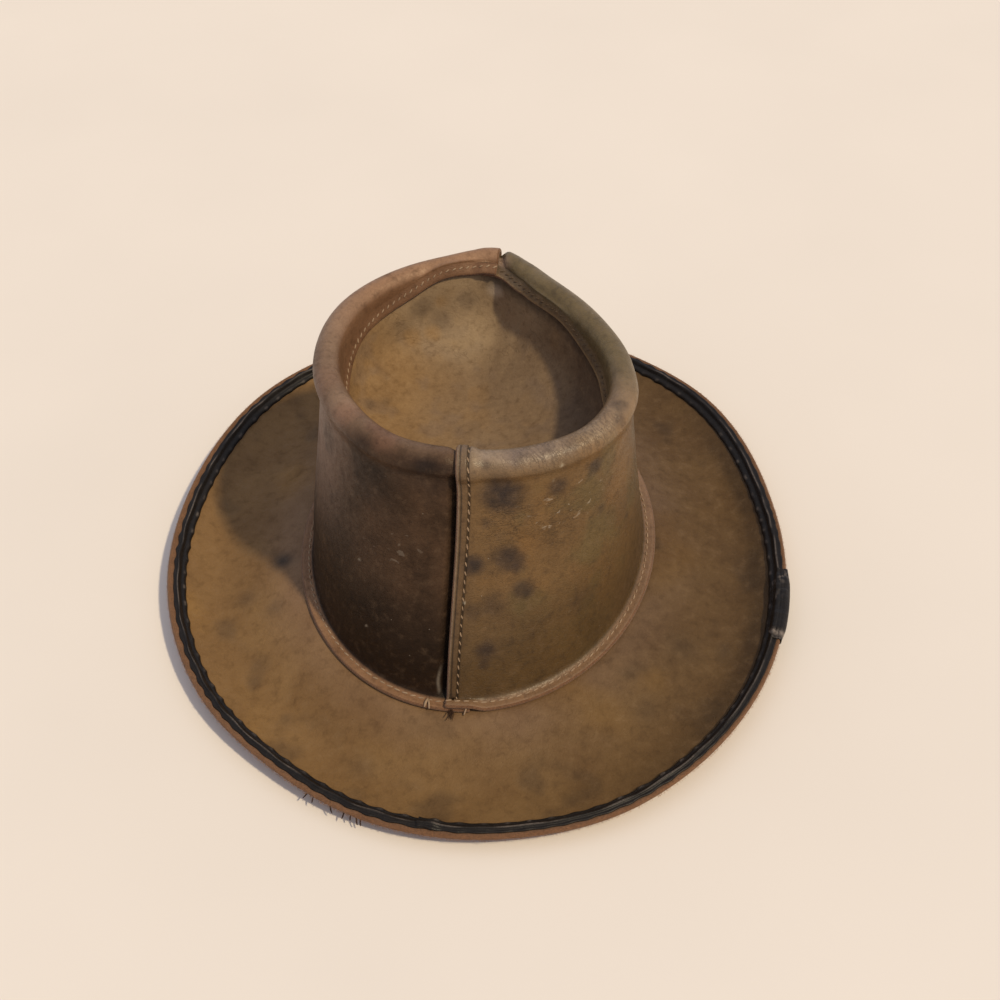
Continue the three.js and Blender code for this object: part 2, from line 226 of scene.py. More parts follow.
def added(name, data):
    thing = bpy.data.objects.new(name, data)
    bpy.context.scene.collection.objects.link(thing)
    return thing


def makeMesh(name, points, faces, materials, kinds=None, attributes=None):
    mesh = bpy.data.meshes.new(name)
    mesh.from_pydata((points * mm + headCentre).tolist(), [], faces)
    for material in materials:
        mesh.materials.append(material)
    if kinds is not None:
        mesh.polygons.foreach_set("material_index", np.asarray(kinds, np.int32))
    for key, values in (attributes or {}).items():
        kind, field = "FLOAT", "value"
        if values.ndim == 2:
            kind, field = "FLOAT_COLOR", "color"
            values = np.concatenate([values, np.ones((len(values), 1))], 1)
        layer = mesh.attributes.new(key, kind, "POINT")
        layer.data.foreach_set(field, values.astype(np.float32).ravel())
    mesh.validate()
    mesh.shade_smooth()
    return added(name, mesh)


def gridQuads(columns, rows, closedRound, closedUp):
    # corners of a grid's faces, where point column * rows + row stands in that column and row
    column = np.arange(columns if closedRound else columns - 1)[:, None]
    row = np.arange(rows if closedUp else rows - 1)[None, :]
    following, up = (column + 1) % columns, (row + 1) % rows
    return np.stack(np.broadcast_arrays(
        column * rows + row, following * rows + row, following * rows + up, column * rows + up), -1)


edgeRounds = (0.12, 0.5, 0.88)


def shell(name, outer, inner, ring, materials, attributes, bulge=0.35, roughRows=0):
    # a closed leather wall between two skins: its raw edges are rounded, and an open wall's ends
    thickness = np.linalg.norm(outer[:, -1] - inner[:, -1], axis=-1, keepdims=True)

    def rounds(skinEnd, skinNext, otherEnd):
        way = unit(skinEnd - skinNext)
        return np.stack([
            mixed(skinEnd, otherEnd, s) + way * thickness * bulge * math.sin(math.pi * s)
            for s in edgeRounds], 1)

    loops = np.concatenate([
        outer, rounds(outer[:, -1], outer[:, -2], inner[:, -1]),
        inner[:, ::-1], rounds(inner[:, 0], inner[:, 1], outer[:, 0]),
    ], 1)
    rows, edge = outer.shape[1], len(edgeRounds)
    count = loops.shape[1]
    opposite = (2 * rows + edge - 1 - np.arange(count)) % count
    values = {key: np.concatenate(
        [grid] + [grid[:, -1:]] * edge + [grid[:, ::-1]] + [grid[:, :1]] * edge, 1)
        for key, grid in attributes.items()}
    if not ring:
        # two more columns at either end, drawn in towards the middle of the wall
        for _ in range(2):
            way = unit(loops[-1] - loops[-2])
            wall = np.linalg.norm(loops[-1] - loops[-1][opposite], axis=-1, keepdims=True)
            extra = [mixed(loops[-1], loops[-1][opposite], pinch) + way * wall * push
                     for pinch, push in ((0.1, 0.2), (0.3, 0.33))]
            loops = np.concatenate([loops, extra])[::-1]
            values = {k: np.concatenate([v, v[-1:], v[-1:]])[::-1] for k, v in values.items()}
    columns = len(loops)
    quads = gridQuads(columns, count, ring, True)
    smoothRow = np.arange(count) < rows - 1 - roughRows
    kinds = np.where(np.broadcast_to(smoothRow, quads.shape[:2]), 0, 1)
    if not ring:
        kinds[:2] = kinds[-2:] = 1
    faces = quads.reshape(-1, 4).tolist()
    kinds = kinds.ravel().tolist()
    if not ring:
        for base, turned in ((0, False), ((columns - 1) * count, True)):
            caps = [[base + k, base + k + 1, base + int(opposite[k + 1]), base + int(opposite[k])]
                    for k in range(rows - 1)]
            caps.append([base + k for k in range(rows - 1, rows + edge + 1)])
            caps.append([base + k for k in range(count - edge - 1, count)] + [base])
            for cap in caps:
                faces.append(cap[::-1] if turned else cap)
                kinds.append(1)
    points = loops.reshape(-1, 3)
    a, b, c = (points[quads.reshape(-1, 4)[:, k]] for k in (0, 1, 2))
    if (a * np.cross(b, c)).sum() < 0:  # inside out
        faces = [face[::-1] for face in faces]
    flat = {k: v.reshape(-1, *v.shape[2:]) for k, v in values.items()}
    return makeMesh(name, points, faces, materials, kinds, flat)


# Materials
def shaderNode(tree, kind, inputs=None, **settings):
    node = tree.nodes.new(kind)
    for key, value in settings.items():
        setattr(node, key, value)
    for key, value in (inputs or {}).items():
        if isinstance(value, bpy.types.NodeSocket):
            tree.links.new(value, node.inputs[key])
        else:
            node.inputs[key].default_value = value
    return node


def attribute(tree, name, output="Fac"):
    return shaderNode(tree, "ShaderNodeAttribute", attribute_name=name).outputs[output]


def ramped(tree, value, low, high, toLow=0.0, toHigh=1.0):
    node = shaderNode(tree, "ShaderNodeMapRange", {
        "Value": value, "From Min": low, "From Max": high, "To Min": toLow, "To Max": toHigh})
    return node.outputs["Result"]


def worked(tree, operation, first, second=0.0):
    return shaderNode(tree, "ShaderNodeMath", {0: first, 1: second}, operation=operation).outputs[0]


def tinted(tree, factor, first, second, blend="MIX"):
    node = shaderNode(tree, "ShaderNodeMix", data_type="RGBA", blend_type=blend)
    for slot, value in ((0, factor), (6, first), (7, second)):
        if isinstance(value, bpy.types.NodeSocket):
            tree.links.new(value, node.inputs[slot])
        else:
            node.inputs[slot].default_value = value if slot == 0 else (*value, 1)
    return node.outputs[2]


def noise(tree, place, size, detail=3, roughness=0.55, distortion=0.0):
    # patches about so many millimetres across
    node = shaderNode(tree, "ShaderNodeTexNoise", {
        "Vector": place, "Scale": 1 / (size * mm), "Detail": detail,
        "Roughness": roughness, "Distortion": distortion})
    return node.outputs["Fac"]


def cells(tree, place, size):
    # distance from the middle of the nearest of scattered cells, in cells
    return shaderNode(tree, "ShaderNodeTexVoronoi", {
        "Vector": place, "Scale": 1 / (size * mm), "Randomness": 1.0}).outputs["Distance"]


def newMaterial(name, finish):
    material = bpy.data.materials.new(name)
    material.use_nodes = True
    tree = material.node_tree
    shader = tree.nodes["Principled BSDF"]
    for key, value in finish.items():
        shader.inputs[key].default_value = value
    place = shaderNode(tree, "ShaderNodeTexCoord").outputs["Object"]
    return material, tree, shader, place


def addBump(tree, shader, layers):
    # layers of (height, depth in millimetres), one over the other
    normal = None
    for height, depth in layers:
        inputs = {"Height": height, "Distance": depth * mm, "Strength": 1.0}
        if normal is not None:
            inputs["Normal"] = normal
        normal = shaderNode(tree, "ShaderNodeBump", inputs).outputs["Normal"]
    tree.links.new(normal, shader.inputs["Normal"])


def ridged(tree, place, size, width, detail=2, distortion=0.0):
    # thin winding lines about so many millimetres apart: 0 on a line and 1 off it
    value = noise(tree, place, size, detail, 0.5, distortion)
    return ramped(tree, worked(tree, "ABSOLUTE", worked(tree, "SUBTRACT", value, 0.5)), 0.0, width)


def stretched(tree, place, turn, scale):
    # coordinates turned about the hat's axis and then scaled, for patterns that run one way
    turned = shaderNode(tree, "ShaderNodeMapping", {
        "Vector": place, "Rotation": (0, 0, math.radians(turn))}).outputs[0]
    return shaderNode(tree, "ShaderNodeMapping", {"Vector": turned, "Scale": scale}).outputs[0]


def grainLeather(name, look):
    # smooth side of worn leather: the painted tint, clouded, with grain, pores, fine lines,
    # creases, flecks and scuffs
    material, tree, shader, place = newMaterial(name, look["finish"])
    broad = noise(tree, place, look["cloudSize"], 4, 0.6, 0.4)
    fine = noise(tree, place, look["mottleSize"], 4, 0.6, 0.2)
    grit = noise(tree, place, look["gritSize"], 2, 0.5)
    pores = ramped(tree, cells(tree, place, look["poreSize"]), 0.0, 0.45)
    lines = ridged(tree, stretched(tree, place, 0, look["lineRun"]), look["lineSize"], 0.05, 3, 0.5)
    wallPlace = stretched(tree, place, 0, (1, 1, 2.6))
    wallFolds = ridged(tree, wallPlace, look["foldSize"], look["wallFoldWidth"], 4, 0.7)
    rimPlace = stretched(tree, place, look["rimTurn"], (3, 1, 1))
    rimFolds = ridged(tree, rimPlace, look["foldSize"], look["rimFoldWidth"], 3, 0.4)
    onWall, onRim = (
        worked(tree, "MULTIPLY", attribute(tree, where), worked(tree, "SUBTRACT", 1.0, folds))
        for where, folds in (("crease", wallFolds), ("rimCrease", rimFolds)))
    creased = worked(tree, "SUBTRACT", 1.0, worked(tree, "MAXIMUM", onWall, onRim))

    shaded = attribute(tree, "tint", "Color")
    for value, low, high, share, tone, blend in (
        (broad, 0.35, 0.7, look["cloudShare"], "cloudTone", "MULTIPLY"),
        (fine, 0.52, 0.75, look["darkShare"], "darkTone", "MULTIPLY"),
        (fine, 0.46, 0.28, look["rubShare"], "rubTone", "MIX"),
        (lines, 1.0, 0.0, look["lineShare"], "darkTone", "MULTIPLY"),
        (creased, 1.0, 0.0, look["foldShare"], "darkTone", "MULTIPLY"),
        (grit, 0.3, 0.7, look["gritShare"], "gritTone", "OVERLAY"),
    ):
        shaded = tinted(tree, ramped(tree, value, low, high, 0, share), shaded, look[tone], blend)
    fleckEdge = look["fleckRadius"] / look["fleckSpacing"]
    flecks = worked(tree, "LESS_THAN", cells(tree, place, look["fleckSpacing"]), fleckEdge)
    streakPlace = stretched(tree, place, 0, (1, 1, 1.8))
    streaks = noise(tree, streakPlace, look["streakSize"], 3, 0.55, 0.5)
    streaks = ramped(tree, streaks, 0.64, 0.69, 0, 0.6)
    scuffs = worked(tree, "MULTIPLY", attribute(tree, "scuff"), streaks)
    marks = worked(tree, "MAXIMUM", worked(tree, "MULTIPLY", flecks, look["fleckShare"]), scuffs)
    shaded = tinted(tree, marks, shaded, look["fleckTone"])
    tree.links.new(shaded, shader.inputs["Base Color"])

    rough = ramped(tree, fine, 0.3, 0.75, look["smoothest"], look["roughest"])
    rough = worked(tree, "SUBTRACT", rough, attribute(tree, "gloss"))
    tree.links.new(rough, shader.inputs["Roughness"])
    addBump(tree, shader, [
        (fine, look["unevenDepth"]), (lines, look["lineDepth"]), (creased, look["creaseDepth"]),
        (grit, look["gritDepth"]), (pores, look["poreDepth"])])
    return material


def fleshLeather(name, look):
    # raw edge and rough side of leather: short nap, no gloss
    material, tree, shader, place = newMaterial(name, {
        "Roughness": 0.95, "Specular IOR Level": 0.1, "Sheen Weight": 0.2, "Sheen Roughness": 0.6,
        "Sheen Tint": (1, 0.8, 0.62, 1)})
    patches = noise(tree, place, look["patchSize"], 3, 0.6)
    nap = noise(tree, place, look["napSize"], 4, 0.75, 0.6)
    shaded = tinted(tree, ramped(tree, patches, 0.3, 0.7), look["tone"], look["patchTone"])
    shaded = tinted(tree, ramped(tree, nap, 0.35, 0.7, 0, 0.8), shaded, look["deepTone"])
    tree.links.new(shaded, shader.inputs["Base Color"])
    addBump(tree, shader, [(nap, look["napDepth"])])
    return material


# What all the smooth leather has in common: sizes and depths in millimetres, shares and tones
plainGrain = {
    "lineRun": (1, 1, 1), "rimTurn": 0, "gritTone": colour(160, 160, 160),
    "lineDepth": 0.05, "unevenDepth": 0.16, "poreDepth": 0.04,
    "wallFoldWidth": 0.035, "rimFoldWidth": 0.05, "foldShare": 0.5, "streakSize": 4.2,
}
print("shapes and materials are ready")


# The brim: one ring of thick leather, smooth side up
brimLook = {
    "columns": 640, "spacing": 1.25,
    "lines": [  # share of the reach, inset in millimetres, share of the slope, share of the curl
        (0, 2, 1, 0), (0, -7, 1, 0), (0.2, 0, 0.84, 0), (0.32, 0, 0.55, 0), (0.46, 0, 0.22, 0),
        (0.58, 0, 0.02, 0), (0.7, 0, 0, 0), (1, 9.5, 0, 0.36), (1, 5.75, 0, 0.64), (1, 2, 0, 0.88),
        (1, 0.9, 0, 0.95),
    ],
    "waveSize": 75, "waveHeight": 1.1, "lowest": 0.05,
    **tones(base=(117, 86, 50), mauve=(124, 94, 67), dark=(84, 63, 41), golden=(127, 92, 48),
            stain=(50, 40, 33)),
    # painted light and shade: the brim's tone is raised towards the wearer's left and lowered
    # towards the right, for light on curls the shape lacks
    "brightest": 1.3, "dimmest": 0.68,  # at the wearer's left and right
    # painted shadow of the raised edge and tape, inside the tape at the wearer's right
    "grime": 0.4,  # along the tape at the wearer's right
    "material": {
        **plainGrain, "finish": {"Specular IOR Level": 0.24, "Specular Tint": (1, 0.9, 0.76, 1)},
        "cloudSize": 34, "cloudTone": colour(214, 205, 196), "cloudShare": 0.75,
        "mottleSize": 5.5, "darkTone": colour(150, 138, 130), "darkShare": 0.4,
        "rubTone": colour(142, 110, 74), "rubShare": 0.18, "smoothest": 0.48, "roughest": 0.66,
        "lineSize": 3.2, "lineShare": 0.06, "foldSize": 9, "creaseDepth": 0.12,
        "gritSize": 1.1, "gritShare": 0.3, "gritDepth": 0.07, "poreSize": 0.75,
        "fleckSpacing": 13, "fleckRadius": 0.3, "fleckShare": 0.4, "fleckTone": colour(52, 38, 26),
    },
    "marks": [  # place, radius and strength of a dark stain
        (95, 20, 5, 0.85), (110, 40, 5, 0.35), (94, 48, 5, 0.3), (40, 132, 7, 0.25),
        (-100, 60, 8, 0.3), (-84, 96, 6, 0.22), (60, -100, 9, 0.3),
    ],
}
fleshLook = {
    **tones(tone=(133, 92, 62), patchTone=(118, 79, 51), deepTone=(72, 47, 31)),
    "patchSize": 6, "napSize": 0.8, "napDepth": 0.4,
}
fleshMaterial = fleshLeather("suedeSide", fleshLook)


def brimRows(turn):
    # distance from the crown's foot and height of the underside, for each line and column
    reach, curl = brimAt("reach", turn), brimAt("curl", turn)
    slopeHeight = foot["brimTop"] - leather["brim"]
    return [(share * reach - inset, slope * slopeHeight + curlShare * curl)
            for share, inset, slope, curlShare in brimLook["lines"]]


def brimTopAt(turn, out):
    # height of the brim's upper face at distances from the crown's foot
    outs, heights = (np.stack(column, 1) for column in zip(*brimRows(turn)))
    found = np.array([np.interp(o, xs, ys) for o, xs, ys in zip(out, outs, heights)])
    return found + leather["brim"] + brimWave(placed(turn, 0, out, 0.0), turn)


def brimWave(points, turn):
    # shallow unevenness of the brim, growing towards its edge
    flat = points * np.array([1, 1, 0])
    footRadius = np.linalg.norm(planPoint(turn, np.zeros_like(turn)), axis=-1)
    if flat.ndim == 3:
        footRadius = footRadius[:, None]
    share = smoothStep(12, 60, np.linalg.norm(flat[..., :2], axis=-1) - footRadius)
    return share * brimLook["waveHeight"] * (0.6 + 0.6 * cloud(flat, brimLook["waveSize"], 11, 2))


def makeBrim():
    turn = np.arange(brimLook["columns"]) * 360 / brimLook["columns"]
    lines = [placed(turn, 0, out, height) for out, height in brimRows(turn)]
    under, rows = smoothed(np.stack(lines, 1), brimLook["spacing"])
    under[..., 2] += brimWave(under, turn)
    top = under + np.array([0, 0, leather["brim"]])
    under[..., 2] = np.maximum(under[..., 2], brimLook["lowest"])
    outward = (rows / rows[-1])[None, :]
    patch = cloud(top, 26, 3)
    tint = painted(brimLook, top, "base", [
        ("mauve", smoothStep(0.42, 0.12, outward) * (0.65 + 0.4 * patch)),
        ("golden", smoothStep(0.1, 0.8, cloud(top, 48, 5)) * 0.8),
        ("dark", smoothStep(0.25, 1.0, cloud(top, 19, 8)) * 0.55),
        *[("stain", strength * bump(np.hypot(top[..., 0] - x, top[..., 1] - y), 0, size))
          for x, y, size, strength in brimLook["marks"]],
    ])
    # painted light and shade from the wearer's left to the right
    aside = top[..., :1] + 0.25 * top[..., 1:2]
    tint = tint * mixed(brimLook["dimmest"], brimLook["brightest"], smoothStep(-120, 130, aside))
    # painted shadow cast by the curled edge and the tape, inside the tape at the wearer's right
    besideTape = smoothStep(6.1, 6.7, rows)[None, :] * onRightSide(turn)[:, None]
    grimed = np.clip(besideTape * (0.75 + 0.35 * patch), 0, 1)
    tint = tint * (1 - brimLook["grime"] * grimed)[..., None]
    crease = smoothStep(0.3, 0.9, cloud(top, 30, 21)) * 0.25
    material = grainLeather("brimGrain", brimLook["material"])
    return shell("brimLeather", top, under, True, [material, fleshMaterial],
                 {"tint": tint, "crease": crease}, roughRows=2)


brim = makeBrim()
print("brim made")


# The two halves of the crown, each cut in one with its flanges. Up a half, the control rows are
# 0 and 1 on the foot flange, 2 at its bend, 3 to 7 up the wall to the waist, 8 to 15 round the
# rolled rim with its crest at 11, 16 at the bend of the flange round the tip and 17 its raw edge.
crownLook = {
    "spacing": 1.2,
    "columns": [(0, 6, 1), (6, 14, 0.2), (14, -8, 0.72), (-8, 0, 0.14)],  # from, to, step of turn
    "rollAngles": [-30, 5, 38, 66, 92, 120, 150, 178],
    "wallRise": [0.03, 0.24, 0.5, 0.76, 1], "wallLean": [0.01, 0.2, 0.5, 0.8, 1],
    "footFlatTo": 1.8, "footWallFrom": 0.6, "footRise": 0.9,
    "tipFlange": 5, "tipBendRise": 1.2, "tipBendRun": 0.3,
}


def crownControl(turn):
    # the leather's outer skin: foot flange, wall, roll and the flange round the tip
    roll, inset = rimAt("roll", turn), rimAt("inset", turn)
    rawEdge = rim["top"] - rimAt("depth", turn)
    flangeRun = inset - 2 * roll - crownLook["tipBendRun"]
    flangeRise = np.sqrt(crownLook["tipFlange"]**2 - flangeRun**2)
    flangeTop = foot["brimTop"] + leather["layGap"] + leather["panel"]
    waist = rim["top"] - rim["waistDrop"] * roll
    atBack = np.clip(np.cos(np.radians(turn)), 0, 1)**2
    waistInset = mixed(rim["waistInset"], rim["waistInsetAtBack"], atBack)
    line = [
        placed(turn, 0, foot["flangeReach"], flangeTop),
        placed(turn, 0, crownLook["footFlatTo"], flangeTop),
        placed(turn, 0, crownLook["footWallFrom"], flangeTop + crownLook["footRise"]),
    ]
    for rise, lean in zip(crownLook["wallRise"], crownLook["wallLean"]):
        line.append(placed(turn, lean, -waistInset * lean**3, mixed(flangeTop, waist, rise)))
    for degrees in crownLook["rollAngles"]:
        angle = math.radians(degrees)
        lowest = rawEdge + flangeRise + crownLook["tipBendRise"] if degrees > 90 else 0
        height = np.maximum(rim["top"] + roll * math.sin(angle) - roll, lowest)
        line.append(placed(turn, 1, roll * math.cos(angle) - roll, height))
    line.append(placed(turn, 1, flangeRun - inset, rawEdge + flangeRise))
    line.append(placed(turn, 1, -inset, rawEdge))
    return np.stack(line, 1)


# Relief beside a seam, in millimetres from the raw edge that lies over: a raised strip up to the
# groove that its stitches lie in, and beyond the edge a gap where the leather under it sinks
seamLook = {
    "strip": 0.45, "groove": 0.5, "grooveAt": 4.6, "grooveAtFoot": 4, "grooveWidth": 0.55,
    "line": 0.3, "lineAt": 1.3, "lineWidth": 0.35, "gapTo": 5.5, "notchTo": 5,
}
leftHalf = {
    "start": -lap["turn"], "end": 180, "gap": 1.8, "notch": 0, "reliefTo": 9,
    "sinkUnder": lap["sinkAtBack"], "sinkOver": lap["sinkAtFront"],
}
rightHalf = {
    "start": -180 - lap["turn"], "end": 0, "gap": 0, "notch": 1.6, "reliefTo": 17,
    "sinkUnder": lap["sinkAtFront"], "sinkOver": lap["sinkAtBack"],
}


def crownSkins(turn, half):
    # skins of a half, lifted where it laps over the other half and sunk where it lies under it
    outer, rows = smoothed(crownControl(turn), crownLook["spacing"])
    normals = skinNormals(outer)
    start, end, look, last = half["start"], half["end"], seamLook, rows[-1]
    over = smoothStep(-lap["ramp"], 0, turn - (end - lap["turn"]))[:, None]
    under = smoothStep(-lap["ramp"], 0, (start + lap["turn"]) - turn)[:, None]
    onFoot, onTipFlange = 1 - smoothStep(1, 2.2, rows), smoothStep(last - 2.2, last - 1, rows)
    onFlange = np.maximum(onFoot, onTipFlange)[None, :]
    step = leather["panel"] + leather["layGap"]
    lift = mixed(over * (1 - half["sinkOver"]) - under * half["sinkUnder"], over, onFlange) * step
    perDegree = np.linalg.norm(np.gradient(outer, turn, axis=0), axis=-1)
    away = (end - turn)[:, None] * perDegree
    beyond = (turn - start - lap["turn"])[:, None] * perDegree
    highest = min(15.8, half["reliefTo"])
    onWall = (smoothStep(1.5, 2.3, rows) * smoothStep(highest, highest - 0.8, rows))[None, :]
    onCrest = (smoothStep(8, 10, rows) * smoothStep(14.5, 13, rows))[None, :]
    lowWall = (smoothStep(2.2, 3.2, rows) * smoothStep(9, 7.4, rows))[None, :]
    lift = lift - half["gap"] * lowWall * smoothStep(look["gapTo"], 1, beyond)
    lift = lift - half["notch"] * onCrest * smoothStep(look["notchTo"], 0.5, beyond)
    outer = outer + normals * lift[..., None]
    inner = outer - normals * leather["panel"]
    groove = mixed(look["grooveAtFoot"], look["grooveAt"], smoothStep(2, 9, rows))[None, :]
    relief = onWall * (
        look["strip"] * smoothStep(0, 0.8, away) * smoothStep(groove, groove - 0.7, away)
        - look["groove"] * bump(away, groove, look["grooveWidth"])
        - look["line"] * bump(away, look["lineAt"], look["lineWidth"]))
    outer = outer + normals * relief[..., None]
    return {"outer": outer, "inner": inner, "rows": rows, "normals": normals, "turn": turn[:, None],
            "away": away, "beyond": beyond, "onWall": onWall, "groove": groove}


def halfTurns(half):
    # columns of a half, close together beside its two laps
    start, end = half["start"], half["end"]
    parts = []
    for low, high, step in crownLook["columns"]:
        low = end + low if low < 0 else start + low
        high = start + high if high > 0 else end + high
        parts.append(np.linspace(low, high, max(2, round((high - low) / step)), endpoint=False))
    return np.concatenate(parts + [[end]])


def spot(points, place, size, seed=2):
    # soft round mark with an uneven outline
    away = np.linalg.norm(points - np.array(place, float), axis=-1)
    uneven = 1 + 0.2 * cloud(points, max(size, 3), seed, 3)
    return np.exp(-(away / (size * uneven)) ** 4)


halfMaterial = {
    **plainGrain, "cloudSize": 24, "cloudShare": 0.7,
    "mottleSize": 4, "darkTone": colour(140, 128, 120), "darkShare": 0.5, "unevenDepth": 0.2,
    "rubTone": colour(138, 108, 80), "rubShare": 0.14, "smoothest": 0.36, "roughest": 0.56,
    "lineSize": 2.6, "lineRun": (1, 1, 1.8), "lineShare": 0.14, "lineDepth": 0.06,
    "foldSize": 5, "creaseDepth": 0.14, "poreSize": 0.7,
    "gritSize": 0.9, "gritTone": colour(165, 165, 165), "gritShare": 0.5, "gritDepth": 0.09,
    "fleckSpacing": 9, "fleckRadius": 0.22, "fleckShare": 0.5, "fleckTone": colour(176, 158, 136),
}
leftLook = {
    **tones(wall=(86, 61, 41), low=(36, 21, 10), under=(46, 33, 27), crest=(118, 91, 70),
            crestAtSide=(146, 116, 91), red=(161, 120, 89), side=(142, 111, 90),
            blush=(138, 96, 74), slope=(119, 82, 54), tipFlange=(124, 88, 62),
            footFlange=(158, 116, 82),
            # gap: painted shadow beside the back seam
            pale=(170, 152, 128), worn=(150, 134, 116), gap=(20, 13, 9)),
    # marks: x, y, z, radius and strength
    "darkMarks": [
        (37, 53, 114, 9, 0.45), (59, 29, 105, 8, 0.45), (30, 60, 111, 8, 0.5),
        (23, 65, 104, 9, 0.4), (48, 51, 89, 11, 0.3), (15, 76, 80, 9, 0.4), (6, 71, 99, 8, 0.45),
        (12, 88, 60, 11, 0.4),
    ],
    "blushMarks": [
        (47, 39, 131, 7, 0.4), (28, 54, 131, 7, 0.35), (60, 20, 129, 8, 0.25),
        (34, 47, 130, 4, 0.3),
    ],
    "paleMarks": [
        (53, 38, 108, 0.7, 0.8), (10, 73, 91, 0.7, 0.9), (24, 72, 84, 0.7, 0.8),
        (44, 66, 67, 0.7, 0.8), (23, 77, 71, 0.7, 0.8), (42, 80, 38, 0.7, 0.7),
        (3, 70, 104, 0.7, 0.7),
    ],
    "scuffMarks": [(28, 70, 84, 16, 0.3)], "crestGloss": 0.02,
    "creases": [(32, 70, 79, 10, 0.4), (55, 30, 116, 12, 0.3)],
    "rimCreases": [(40, 45, 130, 14, 0.25)],
    "material": {**halfMaterial, "cloudTone": colour(200, 192, 186), "rimTurn": 40, "finish": {
        "Specular IOR Level": 0.19, "Specular Tint": (1, 0.88, 0.7, 1)}},
}
rightLook = {
    **tones(wall=(113, 82, 45), low=(86, 62, 32), crest=(150, 123, 96), olive=(102, 84, 47),
            golden=(130, 90, 42), slope=(92, 76, 50), tipFlange=(104, 82, 58),
            footFlange=(140, 104, 74), stain=(47, 32, 25), purple=(88, 70, 66),
            notch=(158, 126, 102),
            strip=(102, 75, 48), raw=(164, 134, 104), seamDark=(30, 21, 14), pale=(206, 186, 156),
            shine=(172, 146, 124), tipEdge=(164, 130, 92)),
    "darkMarks": [
        (-21, 67, 114, 9.5, 0.92), (-23, 76, 82, 7.2, 0.8), (-8, 80, 82, 5, 0.85),
        (-29, 80, 67, 5.2, 0.72), (-42, 61, 113, 5, 0.72), (-57, 51, 115, 4.6, 0.75),
        (-13, 93, 41, 5, 0.7), (-16, 85, 62, 6, 0.35), (-8, 88, 61, 4.5, 0.45),
        (-13, 72, 101, 2.8, 0.6), (-61, 52, 90, 3, 0.35), (-12, 96, 34, 3, 0.6),
        (-14, 67, 129, 2.6, 0.4), (-68, 31, 131, 4, 0.5), (-68, 38, 129, 3.4, 0.5),
        (-53, 69, 49, 8, 0.25),
    ],
    "purpleMarks": [(-27, 63, 131, 5, 0.5), (-38, 60, 131, 5, 0.3), (-48, 56, 130, 4, 0.3)],
    "paleMarks": [
        (-45, 62, 125, 0.9, 0.9), (-41, 62, 117, 0.8, 0.9), (-4, 87, 65, 0.8, 0.9),
        (-57, 55, 93, 0.9, 0.4),
    ],
    "scuffMarks": [
        (-50, 58, 104, 10, 1), (-40, 64, 100, 9, 0.9), (-28, 70, 101, 7, 0.5),
        (-60, 50, 100, 6, 0.6),
    ],
    "crestGloss": 0.09,
    "creases": [(-22, 70, 101, 13, 0.9), (-42, 64, 98, 15, 0.75), (-60, 50, 90, 12, 0.35)],
    "rimCreases": [(-38, 60, 129, 13, 0.75), (-58, 46, 129, 14, 0.9), (-16, 66, 129, 10, 0.3)],
    "material": {**halfMaterial, "cloudTone": colour(208, 204, 190), "rimTurn": -45, "finish": {
        "Specular IOR Level": 0.42, "Specular Tint": (1, 0.9, 0.76, 1), "Coat Weight": 0.06,
        "Coat Roughness": 0.35}},
}


def marked(points, tone, marks):
    # a mottled layer of paint for each mark
    mottle = 1 + 0.22 * cloud(points, 2.6, 7, 2)
    return [(tone, strength * mottle * spot(points, (x, y, z), size))
            for x, y, z, size, strength in marks]


def leftTint(skin):
    look, outer, row, at = leftLook, skin["outer"], skin["rows"][None, :], skin["turn"]
    patch, broad, height = cloud(outer, 14, 31), cloud(outer, 38, 32), outer[..., 2]
    aside = smoothStep(38, 62, at)
    crestFrom = smoothStep(mixed(9.8, 7.4, aside), mixed(12.6, 11.8, aside), row)
    onCrest = crestFrom * (1 - smoothStep(13, 14.6, row))
    besideGap = 3.7 + 1.2 * bump(height, 24, 6)
    return painted(look, outer, "wall", [
        ("low", smoothStep(92, 38, height + 12 * broad) * 0.92),
        ("low", smoothStep(0.1, 0.9, patch) * 0.35),
        # painted sheen: the wall lighter high up towards the wearer's left, where it catches a
        # grazing reflection
        ("side", smoothStep(42, 80, at) * smoothStep(40, 100, height) * 0.78),
        # painted shade in the band under the rolled rim
        ("under", smoothStep(5.6, 7.6, row) * smoothStep(12, 9.6, row)
         * (0.55 + 0.6 * patch) * (1 - aside)),
        ("crest", onCrest * (0.85 + 0.3 * patch)),
        ("crestAtSide", onCrest * aside * (0.8 + 0.3 * patch)),
        ("red", smoothStep(85, 140, at + 14 * broad) * smoothStep(7, 9, row) * 0.9),
        *marked(outer, "low", look["darkMarks"]), *marked(outer, "blush", look["blushMarks"]),
        ("slope", smoothStep(13.6, 14.6, row) * 0.8),
        ("tipFlange", smoothStep(15.7, 16.1, row) * 0.9),
        ("footFlange", smoothStep(1.9, 1.2, row) * 0.85),
        ("worn", bump(skin["beyond"], besideGap, 0.55 + 0.25 * patch)
         * smoothStep(34, 28, height) * smoothStep(16.5, 18.5, height) * (0.5 + 0.2 * patch)),
        *marked(outer, "pale", look["paleMarks"]),
        # painted shadow in the gap beside the raised lap of the back seam
        ("gap", skin["onWall"] * smoothStep(9.5, 8, row)
         * smoothStep(5.6, 1.5, skin["beyond"]) * 0.9),
    ])


